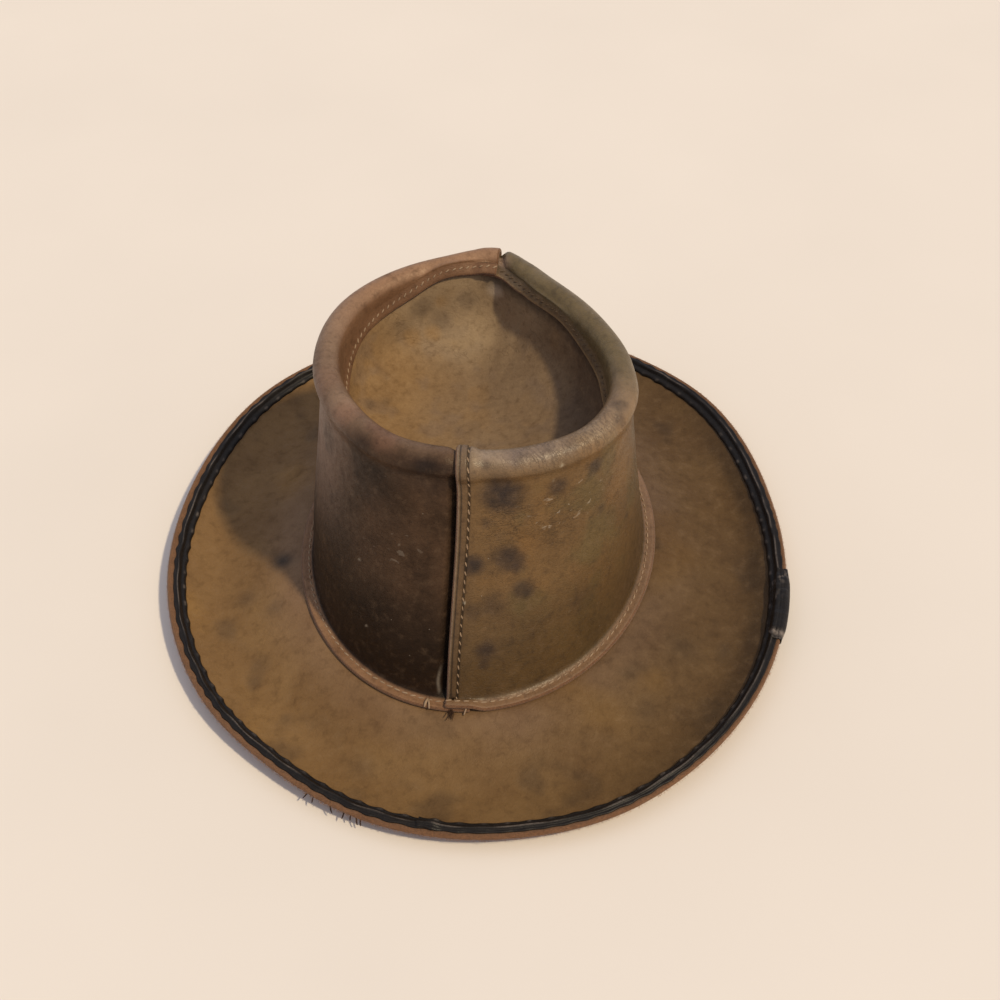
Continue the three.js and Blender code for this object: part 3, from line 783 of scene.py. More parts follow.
def rightTint(skin):
    look, outer, row, at = rightLook, skin["outer"], skin["rows"][None, :], skin["turn"]
    patch, broad, height = cloud(outer, 15, 41), cloud(outer, 34, 42), outer[..., 2]
    onCrest = smoothStep(7.2, 11.8, row) * (1 - smoothStep(13, 14.6, row))
    away, onWall = skin["away"], skin["onWall"]
    return painted(look, outer, "wall", [
        ("golden", smoothStep(-0.1, 0.7, broad) * smoothStep(30, 60, height) * 0.7),
        ("olive", smoothStep(0.0, 0.8, patch) * 0.6),
        ("low", smoothStep(75, 28, height + 10 * broad) * 0.8),
        ("low", smoothStep(-52, -84, at) * smoothStep(9, 7, row) * 0.45),
        # the roll's crest: its own lighter tone, made lighter still as a painted highlight
        ("crest", onCrest * (0.75 + 0.3 * patch)),
        # painted highlight along the crest near the back
        ("shine", bump(row, 11.4, 1) * smoothStep(-50, -36, at) * smoothStep(-6, -14, at)
         * (0.5 + 0.4 * patch)),
        ("olive", smoothStep(-60, -100, at + 10 * broad) * smoothStep(8, 10, row) * 0.8),
        *marked(outer, "stain", look["darkMarks"]), *marked(outer, "purple", look["purpleMarks"]),
        ("slope", smoothStep(13.6, 14.8, row) * 0.8),
        ("notch", smoothStep(-170, -178, at) * smoothStep(11.5, 13.5, row) * 0.85),
        ("tipFlange", smoothStep(15.7, 16.1, row) * 0.9),
        # the tip flange's raw edge: lighter like raw leather, and lightened further as painted
        # light where the roll shades it
        ("tipEdge", smoothStep(16.72, 16.95, row) * 0.8),
        ("footFlange", smoothStep(1.9, 1.2, row) * 0.85),
        *marked(outer, "pale", look["paleMarks"]),
        ("strip", onWall * smoothStep(skin["groove"], skin["groove"] - 0.6, away) * 0.6),
        ("raw", onWall * smoothStep(1, 0.3, away) * 0.75),
        # painted shade in the seam's crease and in the groove the stitches lie in
        ("seamDark", onWall * bump(away, seamLook["lineAt"], 0.35) * 0.7),
        ("seamDark", onWall * bump(away, skin["groove"], 0.6) * 0.8),
    ])


def makeHalf(name, look, tintOf, half):
    skin = crownSkins(halfTurns(half), half)
    outer = skin["outer"]

    def strongest(marks, seed):
        return np.max([strength * spot(outer, (x, y, z), size, seed)
                       for x, y, z, size, strength in marks], 0)

    crease = 0.14 * smoothStep(0.2, 0.9, cloud(outer, 22, 51))
    crease = np.maximum(crease, strongest(look["creases"], 4))
    rimCrease = strongest(look["rimCreases"], 4) * smoothStep(8, 10, skin["rows"])[None, :]
    scuff = strongest(look["scuffMarks"], 5)
    gloss = look["crestGloss"] * np.broadcast_to(bump(skin["rows"], 11.2, 1.6), crease.shape)
    material = grainLeather(name + "Grain", look["material"])
    return shell(name, outer, skin["inner"], False, [material, fleshMaterial], {
        "tint": tintOf(skin), "crease": crease, "rimCrease": rimCrease, "scuff": scuff,
        "gloss": gloss})


crownLeft = makeHalf("crownLeft", leftLook, leftTint, leftHalf)
crownRight = makeHalf("crownRight", rightLook, rightTint, rightHalf)
print("crown halves made:", len(crownLeft.data.polygons), len(crownRight.data.polygons))


# The sunken tip, from under the flanges down to its lowest point
tipLook = {
    "columns": 300, "spacing": 1.2, "middle": (2, -4), "depth": 49, "borderInset": 0.35,
    "rings": [(4, 1, 0.45), (4, 0.62, 0.15)],  # inset from the raw edge, share of way and height
    "unevenSize": 34, "uneven": 0.9,
    **tones(base=(136, 108, 78), golden=(146, 110, 68), grey=(122, 99, 80), dark=(86, 68, 54),
            pale=(176, 148, 112), worn=(190, 164, 134), seamDark=(44, 34, 27)),
    "darkMarks": [
        (27, -53, 111, 6, 0.5), (19, -55, 104, 6, 0.4), (35, -46, 105, 5, 0.3),
        (6, -62, 110, 5, 0.35), (41, -13, 90, 3, 0.3), (47, -9, 92, 3, 0.4),
        (-18, -30, 90, 16, 0.2),
    ],
    "goldenMarks": [(32, -46, 100, 4.5, 0.7), (23, -51, 99, 4, 0.7), (18, -58, 112, 3.5, 0.5)],
    "material": {
        **plainGrain, "finish": {"Specular IOR Level": 0.2, "Specular Tint": (1, 0.9, 0.78, 1)},
        "cloudSize": 20, "cloudTone": colour(212, 206, 202), "cloudShare": 0.7,
        "mottleSize": 3.4, "darkTone": colour(156, 142, 132), "darkShare": 0.42,
        "rubTone": colour(164, 132, 92), "rubShare": 0.18, "smoothest": 0.62, "roughest": 0.8,
        "lineSize": 3.4, "lineRun": (0.5, 1.6, 1), "lineShare": 0.05, "foldSize": 8,
        "creaseDepth": 0.2, "gritSize": 1, "gritShare": 0.35, "gritDepth": 0.08, "poreSize": 0.8,
        "fleckSpacing": 9, "fleckRadius": 0.28, "fleckShare": 0.5, "fleckTone": colour(74, 56, 42),
    },
}


def tipSkin():
    # upper face: from under the flanges down the rings, and on over the middle to shape its bottom
    look = tipLook
    turn = np.arange(look["columns"]) * 360 / look["columns"] - 180
    crown = crownControl(turn)
    under = (crown - ringNormals(crown) * (leather["panel"] + leather["layGap"]))[:, -2:]
    under[:, 0] = mixed(under[:, 0], under[:, 1], look["borderInset"])
    middle = np.array([*look["middle"], rim["top"] - look["depth"]])
    rawHeight = under[:, 1, 2]
    lines = [under[:, 0], under[:, 1]]
    for inset, share, height in look["rings"]:
        ring = mixed(middle, placed(turn, 1, -rimAt("inset", turn) - inset, rawHeight), share)
        ring[:, 2] = mixed(middle[2], rawHeight, height)
        lines.append(ring)
    centre = np.broadcast_to(middle, lines[-1].shape)
    beyond = 2 * centre - lines[-1]
    beyond[:, 2] = lines[-1][:, 2]
    skin, rows = smoothed(np.stack([*lines, centre, beyond], 1), look["spacing"], 4)
    beforeMiddle = rows < len(lines) - 0.03
    skin, rows = skin[:, beforeMiddle], rows[beforeMiddle]
    normals = ringNormals(skin)
    unevenness = look["uneven"] * cloud(skin, look["unevenSize"], 61, 2)[..., None]
    skin = skin + normals * smoothStep(1, 2, rows)[None, :, None] * unevenness
    return skin, skin - normals * leather["tip"], rows


def makeTip():
    top, bottom, rows = tipSkin()
    columns, count = top.shape[:2]
    points = np.concatenate([top.reshape(-1, 3), bottom.reshape(-1, 3),
                             top[:, -1].mean(0)[None], bottom[:, -1].mean(0)[None]])
    quads = gridQuads(columns, count, True, False).reshape(-1, 4)
    lower = columns * count
    topCentre, bottomCentre = (np.full(columns, 2 * lower + k) for k in (0, 1))
    first = np.arange(columns) * count
    following = np.roll(first, -1)
    last = count - 1
    faces = quads.tolist() + (quads[:, ::-1] + lower).tolist()
    for corners in ((first + last, following + last, topCentre),
                    (lower + following + last, lower + first + last, bottomCentre),
                    (following, first, lower + first, lower + following)):
        faces += np.stack(corners, 1).tolist()
    kinds = [0] * len(quads) + [1] * len(quads) + [0] * columns + [1] * columns * 2

    look, patch, broad = tipLook, cloud(points, 13, 62), cloud(points, 36, 63)
    x, y = points[:, 0], points[:, 1]
    besideSeam = np.zeros(len(points))
    besideSeam[:lower] = np.tile(smoothStep(1.45, 1.05, rows), columns)
    tint = painted(look, points, "base", [
        ("golden", smoothStep(2, 40, x + 14 * broad) * smoothStep(-62, -30, y) * 0.75),
        ("golden", smoothStep(0.15, 0.7, patch) * 0.35),
        ("grey", smoothStep(0.0, 0.8, cloud(points, 9, 64)) * 0.4),
        ("pale", smoothStep(-30, -60, y + 8 * broad) * 0.45),
        # painted shade: darker towards the wearer's right, deepening the rim's shadow over the tip
        ("dark", smoothStep(-34, -54, x) * 0.7),
        *marked(points, "dark", look["darkMarks"]), *marked(points, "golden", look["goldenMarks"]),
        ("worn", spot(points, (-7, -66, 115), 4.2)),
        # painted shadow of the flange's raw edge on the tip, along its right side
        ("seamDark", besideSeam * smoothStep(4, -8, x) * 0.75),
    ])
    crease = 0.2 * smoothStep(0.3, 0.9, cloud(points, 24, 65)) + 0.5 * bump(y, -45, 3)
    material = grainLeather("tipGrain", look["material"])
    return makeMesh("crownTip", points, faces, [material, fleshMaterial], kinds,
                    {"tint": tint, "crease": crease})


crownTip = makeTip()
print("tip made")


# The black tape along the brim's edge, cockled over the wire that it holds: by the angle of the
# foot, its distance from the brim's edge and its width; across it, shares of the width and heights
tapeLook = {
    "at": [-180, -120, -80, -40, 0, 40, 80, 120],
    "outset": [2.2, 2.2, 1.8, 2, 2.3, 2.7, 3.1, 2.6],
    "width": [5.8, 6.2, 6.4, 6.2, 5.9, 5.7, 5.3, 5.6],
    "columns": 1250, "lapTurn": 1.1,
    "across": [0, 0.05, 0.13, 0.23, 0.31, 0.39, 0.48, 0.59, 0.71, 0.84, 0.95, 1],
    "height": [0.5, 0.85, 1, 1.2, 2.2, 2.4, 2.1, 1.1, 0.95, 1.1, 0.9, 0.5],
    "cockleRun": 10.5, "scallop": 0.75, "cockle": 0.42, "wireWobble": 0.4, "calmAtRight": 0.45,
    "seed": 71, "wireAt": 0.39, "wireWidth": 0.14, "ridge": 0.36, "ridgeWidth": 0.035,
    "weave": 0.62, "spacing": 0.5,
    **tones(tone=(22, 17, 14), worn=(46, 38, 33), dusty=(68, 58, 49), rubbed=(150, 132, 118)),
    "finish": {"Specular IOR Level": 0.24, "Specular Tint": (1, 0.9, 0.78, 1), "Coat Weight": 0.05,
               "Coat Roughness": 0.3},
}


def tapeMaterial(look):
    material, tree, shader, place = newMaterial("bindingTape", look["finish"])
    wear = noise(tree, place, 7, 4, 0.65, 0.3)
    fine = noise(tree, place, 0.9, 4, 0.7)
    weave = ramped(tree, cells(tree, place, look["weave"]), 0.1, 0.6)
    shaded = tinted(tree, ramped(tree, wear, 0.5, 0.8, 0, 0.5), look["tone"], look["worn"])
    shaded = tinted(tree, ramped(tree, fine, 0.55, 0.8, 0, 0.35), shaded, look["dusty"])
    # the tape lightens where it is worn and where a highlight is painted
    rubbed = ramped(tree, fine, 0.35, 0.6, 0.35, 1)
    rubbed = worked(tree, "MULTIPLY", attribute(tree, "rub"), rubbed)
    shaded = tinted(tree, rubbed, shaded, look["rubbed"])
    tree.links.new(shaded, shader.inputs["Base Color"])
    tree.links.new(ramped(tree, fine, 0.3, 0.7, 0.36, 0.56), shader.inputs["Roughness"])
    addBump(tree, shader, [(wear, 0.2), (fine, 0.08), (weave, 0.05)])
    return material


blackTape = tapeMaterial(tapeLook)


def cockles(turn):
    # uneven waves along the tape, about one for every cockleRun millimetres of the edge
    edge = placed(turn, 0, brimAt("reach", turn), 0.0)
    along = np.concatenate([[0], np.cumsum(np.linalg.norm(np.diff(edge, axis=0), axis=1))])
    line = np.stack([along, np.zeros_like(along), np.zeros_like(along)], -1)
    seed = tapeLook["seed"]
    phase = 2 * np.pi * (along / tapeLook["cockleRun"] + 0.45 * cloud(line, 34, seed, 2))
    strength = 0.75 + 0.5 * cloud(line + 500, 26, seed, 1)
    return phase, strength * mixed(1, tapeLook["calmAtRight"], onRightSide(turn))


def tapeAt(column, turn):
    return around(tapeLook, column, np.asarray(turn) + foot["skew"])


def makeBinding():
    look = tapeLook
    turn = np.linspace(-look["lapTurn"], 360 + look["lapTurn"], look["columns"])
    phase, strength = cockles(turn)
    overEnd = smoothStep(-1.5, 0, turn - (360 - look["lapTurn"])) * (leather["tape"] + 0.1)
    outer, inner = [], []
    for share, height in zip(look["across"], look["height"]):
        inwards, outwards = smoothStep(0.5, 1, share), smoothStep(0.3, 0, share)
        onWire = bump(share, look["wireAt"], look["wireWidth"])
        shift = (inwards * look["scallop"] * strength * (0.5 - np.abs(np.sin(phase / 2)))
                 + onWire * look["wireWobble"] * np.sin(phase * 0.5 + 1.3) * strength
                 + outwards * 0.35 * np.sin(phase * 1.1 + 0.6) * strength)
        lift = (inwards * look["cockle"] * strength * (0.55 + 0.45 * np.cos(phase))
                + outwards * 0.12 * (1 + np.sin(phase)))
        out = brimAt("reach", turn) - tapeAt("outset", turn) - share * tapeAt("width", turn) - shift
        base = brimTopAt(turn, out) + leather["layGap"] * 0.3
        outer.append(placed(turn, 0, out, base + height + lift + overEnd))
        inner.append(placed(turn, 0, out, base + lift * 0.4 + overEnd))
    outer, at = smoothed(np.stack(outer, 1), look["spacing"])
    inner, _ = smoothed(np.stack(inner, 1), look["spacing"])
    inner = resampled(inner, outer.shape[1])
    share = np.interp(at, np.arange(len(look["across"])), look["across"])[None, :]
    worn = 0.5 + 0.5 * cloud(outer, 9, 72, 2)
    # a light line along the ridge over the wire and on the cockles' crests: wear, and a painted
    # highlight
    rub = bump(share, look["ridge"], look["ridgeWidth"]) * smoothStep(0.2, 0.8, worn)
    onWaves = smoothStep(0.6, 1, np.cos(phase))[:, None]
    rub = np.maximum(rub, 0.4 * bump(share, 0.86, 0.08) * onWaves * worn)
    return shell("binding", outer, inner, False, [blackTape, blackTape], {"rub": rub}, 0.2)


def resampled(lines, rows):
    # the same lines with another number of points
    at = np.linspace(0, lines.shape[1] - 1, rows)
    low = np.minimum(at.astype(int), lines.shape[1] - 2)
    return mixed(lines[:, low], lines[:, low + 1], (at - low)[None, :, None])


binding = makeBinding()
print("binding made:", len(binding.data.polygons))


# A patch of the same tape folded over the brim's edge
patchLook = {
    "from": -87, "to": -71.5, "columns": 130, "clear": 0.25, "thickness": 0.7, "rows": 12,
    "reachIn": 6.8, "reachInAtEnds": 4.4, "reachOut": 0.9, "bulge": 0.25,
    "crinkle": 0.4, "crinkleSize": 4, "spacing": 0.6,
    "edge": [(0.1, 0.85), (0.4, 0.5), (0.1, 0.12)],  # distance out, share of the brim's thickness
    "under": [0.4, 2, 4, 5],  # insets on the underside
}


def makePatch():
    look = patchLook
    turn = np.linspace(look["from"], look["to"], look["columns"])
    reach, curl = brimAt("reach", turn), brimAt("curl", turn)
    along = np.linspace(0, 1, look["columns"])
    ends = smoothStep(0, 0.22, along) * smoothStep(1, 0.82, along)
    middle = np.sin(np.pi * along)
    innermost = mixed(look["reachInAtEnds"], look["reachIn"], ends)
    line = []
    for share in np.linspace(0, 1, look["rows"]):
        inset = mixed(innermost, look["reachOut"], share)
        spread = (inset - tapeAt("outset", turn)) / tapeAt("width", turn)
        tape = np.interp(spread, tapeLook["across"], tapeLook["height"], left=0.2)
        height = brimTopAt(turn, reach - inset) + leather["layGap"] + tape + look["clear"]
        point = placed(turn, 0, reach - inset, height)
        unevenness = 0.6 + cloud(point, look["crinkleSize"], 81, 3)
        point[:, 2] += look["crinkle"] * unevenness - 0.3 * (1 - ends)
        line.append(point)
    base = curl + brimWave(placed(turn, 0, reach, 0.0), turn)
    outermost = reach + look["clear"] + look["bulge"] * middle
    for out, share in look["edge"]:
        line.append(placed(turn, 0, outermost + out * ends, base + leather["brim"] * share))
    for inset in look["under"]:
        height = brimTopAt(turn, reach - inset) - leather["brim"] - look["clear"] - 0.1
        line.append(placed(turn, 0, reach - inset, height))
    inner, _ = smoothed(np.stack(line, 1), look["spacing"])
    outer = inner - skinNormals(inner) * (look["thickness"] * mixed(0.45, 1, ends))[:, None, None]
    if (outer - inner)[len(turn) // 2, 2, 2] < 0:
        outer = 2 * inner - outer
    # light on the folds and near the end: wear, with painted highlights on the folds
    folds = 1 - smoothStep(0, 0.16, np.abs(cloud(inner, 6, 84, 2)))
    rub = 0.6 * folds * smoothStep(-0.2, 0.6, cloud(inner, 9, 85, 2))
    nearEnd = bump(along, 0.93, 0.035) * smoothStep(0.2, 0.6, along)
    rub = np.maximum(rub, 0.7 * nearEnd[:, None])
    return shell("bindingPatch", outer, inner, False, [blackTape, blackTape], {"rub": rub}, 0.3)


bindingPatch = makePatch()
print("patch made")


# Stitches and fibres, laid out by Geometry Nodes and made plain meshes
def nodeTree(name, sockets):
    tree = bpy.data.node_groups.new(name, "GeometryNodeTree")
    tree.interface.new_socket("Geometry", in_out="INPUT", socket_type="NodeSocketGeometry")
    for label, kind in sockets:
        tree.interface.new_socket(label, in_out="INPUT", socket_type="NodeSocket" + kind)
    tree.interface.new_socket("Geometry", in_out="OUTPUT", socket_type="NodeSocketGeometry")
    return tree, tree.nodes.new("NodeGroupInput"), tree.nodes.new("NodeGroupOutput")


def turnedTo(tree, rotation, axis, vector, pivot="AUTO"):
    inputs = {"Vector": vector}
    if rotation is not None:
        inputs["Rotation"] = rotation
    return shaderNode(tree, "FunctionNodeAlignRotationToVector", inputs,
                      axis=axis, pivot_axis=pivot).outputs["Rotation"]


def rotated(tree, rotation, angles):
    # a further turn about the piece's own axes
    by = shaderNode(tree, "FunctionNodeEulerToRotation", {0: angles})
    return shaderNode(tree, "FunctionNodeRotateRotation", {
        "Rotation": rotation, "Rotate By": by.outputs[0]}, rotation_space="LOCAL").outputs[0]


def leant(tree, rotation, amount, seed):
    # a small random turn
    inputs = {"Seed": seed}
    for slot, sign in ((0, -1), (1, 1)):
        inputs[slot] = shaderNode(tree, "ShaderNodeVectorMath", {
            0: (sign, sign, sign), "Scale": amount}, operation="SCALE").outputs[0]
    swing = shaderNode(tree, "FunctionNodeRandomValue", inputs, data_type="FLOAT_VECTOR")
    return rotated(tree, rotation, swing.outputs["Value"])


def carriedUp(tree):
    return shaderNode(tree, "GeometryNodeInputNamedAttribute", {"Name": "up"},
                      data_type="FLOAT_VECTOR").outputs[0]


def sized(tree, geometry, x, y, z):
    size = shaderNode(tree, "ShaderNodeCombineXYZ", {"X": x, "Y": y, "Z": z})
    return shaderNode(tree, "GeometryNodeTransform", {
        "Geometry": geometry, "Scale": size.outputs[0]}).outputs[0]


def stood(tree, result, points, piece, rotation, least, most, sockets, smooth=False):
    # the piece on every point, in a random share of its size, as one mesh of the given thread
    spread = shaderNode(tree, "FunctionNodeRandomValue", {
        2: least, 3: most, "Seed": sockets["Seed"]})
    rows = shaderNode(tree, "GeometryNodeInstanceOnPoints", {
        "Points": points, "Instance": piece, "Scale": spread.outputs[1],
        "Rotation": leant(tree, rotation, sockets["Lean"], sockets["Seed"])})
    real = shaderNode(tree, "GeometryNodeRealizeInstances", {0: rows.outputs[0]})
    if smooth:
        real = shaderNode(tree, "GeometryNodeSetShadeSmooth", {0: real.outputs[0]})
    coated = shaderNode(tree, "GeometryNodeSetMaterial", {
        0: real.outputs[0], "Material": sockets["Thread"]})
    tree.links.new(coated.outputs[0], result.inputs[0])
    return tree


def stitchTree():
    tree, given, result = nodeTree("stitchRow", [
        ("Pitch", "Float"), ("Length", "Float"), ("Radius", "Float"), ("Slant", "Float"),
        ("Lean", "Float"), ("Seed", "Int"), ("Thread", "Material")])
    sockets = given.outputs
    path = shaderNode(tree, "GeometryNodeMeshToCurve", {"Mesh": sockets["Geometry"]})
    spaced = shaderNode(tree, "GeometryNodeResampleCurve", {
        "Curve": path.outputs[0], "Length": sockets["Pitch"]}, mode="LENGTH")
    tangent = shaderNode(tree, "GeometryNodeInputTangent").outputs[0]
    ball = shaderNode(tree, "GeometryNodeMeshUVSphere", {"Segments": 8, "Rings": 6, "Radius": 1.0})
    half = worked(tree, "MULTIPLY", sockets["Length"], 0.5)
    thread = sized(tree, ball.outputs[0], half, sockets["Radius"], sockets["Radius"])
    facing = turnedTo(tree, turnedTo(tree, None, "X", tangent), "Z", carriedUp(tree), "X")
    swung = shaderNode(tree, "ShaderNodeCombineXYZ", {"Z": sockets["Slant"]})
    facing = rotated(tree, facing, swung.outputs[0])
    return stood(tree, result, spaced.outputs[0], thread, facing, 0.88, 1.12, sockets, smooth=True)


def fibreTree():
    tree, given, result = nodeTree("fibres", [
        ("Length", "Float"), ("Radius", "Float"), ("Lean", "Float"), ("Seed", "Int"),
        ("Thread", "Material")])
    sockets = given.outputs
    cone = shaderNode(tree, "GeometryNodeMeshCone", {
        "Vertices": 3, "Side Segments": 2, "Radius Top": 0.02, "Radius Bottom": 1.0, "Depth": 1.0},
        fill_type="NONE")
    fibre = sized(tree, cone.outputs[0], sockets["Radius"], sockets["Radius"], sockets["Length"])
    facing = turnedTo(tree, None, "Z", carriedUp(tree))
    return stood(tree, result, sockets["Geometry"], fibre, facing, 0.35, 1.25, sockets)


def laidOut(name, tree, points, ups, edges, given):
    # a mesh of points that carry their way up, with the tree's result as a plain mesh
    guide = bpy.data.meshes.new(name + "Guide")
    guide.from_pydata((points * mm + headCentre).tolist(), edges, [])
    layer = guide.attributes.new("up", "FLOAT_VECTOR", "POINT")
    layer.data.foreach_set("vector", ups.astype(np.float32).ravel())
    holder = added(name + "Guide", guide)
    modifier = holder.modifiers.new("rows", "NODES")
    modifier.node_group = tree
    for item in tree.interface.items_tree:
        if item.item_type == "SOCKET" and item.in_out == "INPUT" and item.name in given:
            modifier[item.identifier] = given[item.name]
    bpy.context.view_layer.update()
    evaluated = holder.evaluated_get(bpy.context.evaluated_depsgraph_get())
    mesh = bpy.data.meshes.new_from_object(evaluated)
    mesh.name = name
    holder.modifiers.remove(modifier)
    bpy.data.objects.remove(holder)
    return added(name, mesh)


def threadMaterial(name, tone, deep):
    material, tree, shader, place = newMaterial(name, {
        "Roughness": 0.8, "Specular IOR Level": 0.2, "Specular Tint": (1, 0.88, 0.74, 1)})
    strands = noise(tree, place, 0.35, 3, 0.6)
    dirt = noise(tree, place, 9, 3, 0.6)
    shaded = tinted(tree, ramped(tree, dirt, 0.35, 0.7, 0, 0.6), tone, deep)
    shaded = tinted(tree, ramped(tree, strands, 0.35, 0.7, 0, 0.5), shaded, deep)
    tree.links.new(shaded, shader.inputs["Base Color"])
    addBump(tree, shader, [(strands, 0.1)])
    return material


stitchLook = {
    "foot": {"Pitch": 4, "Length": 3.1, "Radius": 0.4, "Slant": 0.12, "Lean": 0.1, "Seed": 1},
    "seam": {"Pitch": 4.3, "Length": 2.9, "Radius": 0.36, "Slant": 0.34, "Lean": 0.14, "Seed": 2},
    "tip": {"Pitch": 3.3, "Length": 2.4, "Radius": 0.36, "Slant": 0.5, "Lean": 0.14, "Seed": 3},
    "footOut": 2.4,  # from the foot of the wall
    "tipShare": 0.42,  # of the way from the bend of the tip's flange to its raw edge
    "lift": 0.06, "points": 420, "fromStart": 6.5, "fromEnd": 0.4,  # the last two in degrees
    "seamColumns": 91, "seamTurn": 9, "seamFrom": 1.9, "seamTo": 15.4,  # the last two in rows
}
lightThread = threadMaterial("lightThread", colour(170, 140, 110), colour(120, 94, 70))
# a shaded copy of the thread: painted shade for the right flange's stitches in the roll's shadow
darkThread = threadMaterial("darkThread", colour(104, 82, 60), colour(74, 57, 42))
stitchNodes = stitchTree()


def stitchRow(name, points, ups, kind, thread=None):
    sizes = {key: value if key in ("Lean", "Seed", "Slant") else value * mm
             for key, value in stitchLook[kind].items()}
    sizes["Thread"] = thread or lightThread
    edges = [(k, k + 1) for k in range(len(points) - 1)]
    return laidOut(name, stitchNodes, points + ups * stitchLook["lift"], ups, edges, sizes)


def onSkin(half, turn, rowAt):
    # points and normals of a half's outer skin along one row, given in control rows
    skin = crownSkins(turn, half)
    outer, rows, normals = skin["outer"], skin["rows"], skin["normals"]
    low = np.clip(np.searchsorted(rows, rowAt, side="right") - 1, 0, len(rows) - 2)
    share = (rowAt - rows[low]) / (rows[low + 1] - rows[low])
    between = unit(mixed(normals[:, low], normals[:, low + 1], share))
    return mixed(outer[:, low], outer[:, low + 1], share), between


def flangeStitches():
    # a row round each half's foot flange and one round its flange over the tip
    look, pieces = stitchLook, []
    flatTo = crownLook["footFlatTo"]
    flatRow = 1 - (look["footOut"] - flatTo) / (foot["flangeReach"] - flatTo)
    bendRow = len(crownLook["wallRise"]) + 3 + len(crownLook["rollAngles"])
    for name, half, tipThread in (
        ("Left", leftHalf, lightThread), ("Right", rightHalf, darkThread),
    ):
        turn = np.linspace(half["start"] + look["fromStart"], half["end"] - look["fromEnd"],
                           look["points"])
        points, ups = onSkin(half, turn, flatRow)
        pieces.append(stitchRow("footStitches" + name, points, ups, "foot"))
        points, ups = onSkin(half, turn, bendRow + look["tipShare"])
        pieces.append(stitchRow("tipStitches" + name, points, ups, "tip", tipThread))
    return pieces


def seamStitches():
    # a row up each lapped seam, in the groove beside the raw edge that lies over
    look, pieces = stitchLook, []
    columns = look["seamColumns"]
    for name, half in (("Back", rightHalf), ("Front", leftHalf)):
        skin = crownSkins(np.linspace(half["end"] - look["seamTurn"], half["end"], columns), half)
        last = min(look["seamTo"], half["reliefTo"] - 1)
        points, ups = [], []
        for k in np.nonzero((skin["rows"] > look["seamFrom"]) & (skin["rows"] < last))[0]:
            at = np.interp(skin["groove"][0, k], skin["away"][::-1, k], np.arange(columns)[::-1])
            low = min(int(at), columns - 2)
            points.append(mixed(skin["outer"][low, k], skin["outer"][low + 1, k], at - low))
            ups.append(skin["normals"][low, k])
        pieces.append(stitchRow("seamStitches" + name, np.array(points), np.array(ups), "seam"))
    return pieces


stitches = flangeStitches() + seamStitches()
print("stitches made:", [(piece.name, len(piece.data.polygons)) for piece in stitches])


napLook = {
    "count": 7000, "lowest": 0.1, "highest": 2.7, "inset": 0.75, "bulge": 0.9,
    "Length": 0.8, "Radius": 0.06, "Lean": 0.75, "Seed": 5,
    **tones(tone=(172, 124, 86), deep=(112, 74, 48)),
}


def brimNap():
    # short suede fibres that stand out of the brim's raw edge
    random = np.random.default_rng(napLook["Seed"])
    turn = np.sort(random.uniform(0, 360, napLook["count"]))
    height = random.uniform(napLook["lowest"], napLook["highest"], napLook["count"])
    reach = brimAt("reach", turn)
    bulge = napLook["bulge"] * np.sin(np.pi * height / leather["brim"])
    points = placed(turn, 0, reach - napLook["inset"] + bulge, height)
    points[:, 2] += brimTopAt(turn, reach - 1) - leather["brim"]
    outward = placed(turn, 0, reach + 5, 0.0) - placed(turn, 0, reach, 0.0)
    ups = unit(outward + np.array([0, 0, 1]) * ((height - 1.5) * 2)[:, None])
    material = threadMaterial("napFibre", napLook["tone"], napLook["deep"])
    return laidOut("edgeNap", fibreTree(), points, ups, [], {
        "Length": napLook["Length"] * mm, "Radius": napLook["Radius"] * mm,
        "Lean": napLook["Lean"], "Seed": napLook["Seed"], "Thread": material})


edgeNap = brimNap()
print("nap made:", len(edgeNap.data.polygons))


# Loose ends of thread and frayed fibres at the seam's foot and under the brim's edge
def strand(path, radius, sides=6):
    # points and faces of a thin closed tube along a path
    path = np.array(path, float)
    spaced, _ = smoothed(path[None], 0.5)
    line = spaced[0]
    run = unit(np.gradient(line, axis=0))
    side = unit(np.cross(run, np.array([0.13, 0.21, 0.97])))
    over = np.cross(run, side)
    taper = radius * (0.35 + 0.65 * np.sin(np.linspace(0.25, math.pi - 0.1, len(line))) ** 0.4)
    angles = np.arange(sides) * 2 * math.pi / sides
    across, up = np.cos(angles)[None, :, None], np.sin(angles)[None, :, None]
    rings = line[:, None] + taper[:, None, None] * (across * side[:, None] + up * over[:, None])
    faces = []
    for k in range(len(line) - 1):
        for s in range(sides):
            t = (s + 1) % sides
            faces.append([k * sides + s, k * sides + t, (k + 1) * sides + t, (k + 1) * sides + s])
    faces.append(list(range(sides))[::-1])
    faces.append([(len(line) - 1) * sides + s for s in range(sides)])
    return rings.reshape(-1, 3), faces


def strands(name, paths, material):
    points, faces, base = [], [], 0
    for path, radius in paths:
        ring, found = strand(path, radius)
        points.append(ring)
        faces += [[corner + base for corner in face] for face in found]
        base += len(ring)
    return makeMesh(name, np.concatenate(points), faces, [material])


threadEnds = strands("threadEnds", [  # paths and radii
    ([(13.2, 102.6, 16.4), (13.9, 104.6, 16.5), (14.5, 106.6, 15.3)], 0.6),
    ([(13, 103.2, 16.4), (12.5, 105.2, 16.4), (12.3, 107.2, 15)], 0.5),
    ([(-4.6, 105, 16.4), (-4.2, 107, 15.9), (-3.4, 109, 14)], 0.42),
], lightThread)
darkFibre = threadMaterial("darkFibre", colour(62, 38, 24), colour(34, 22, 15))
fibreLook = {
    "tuft": 16, "tuftPlace": (2.6, 106.6), "tuftTop": 15.4,  # where the seam meets the brim
    "turns": (20, 18.8, 15.6, 13, 11.9, 10.9, 10.2), "radius": 0.32,  # under the brim's edge
}
tuftRandom = np.random.default_rng(9)


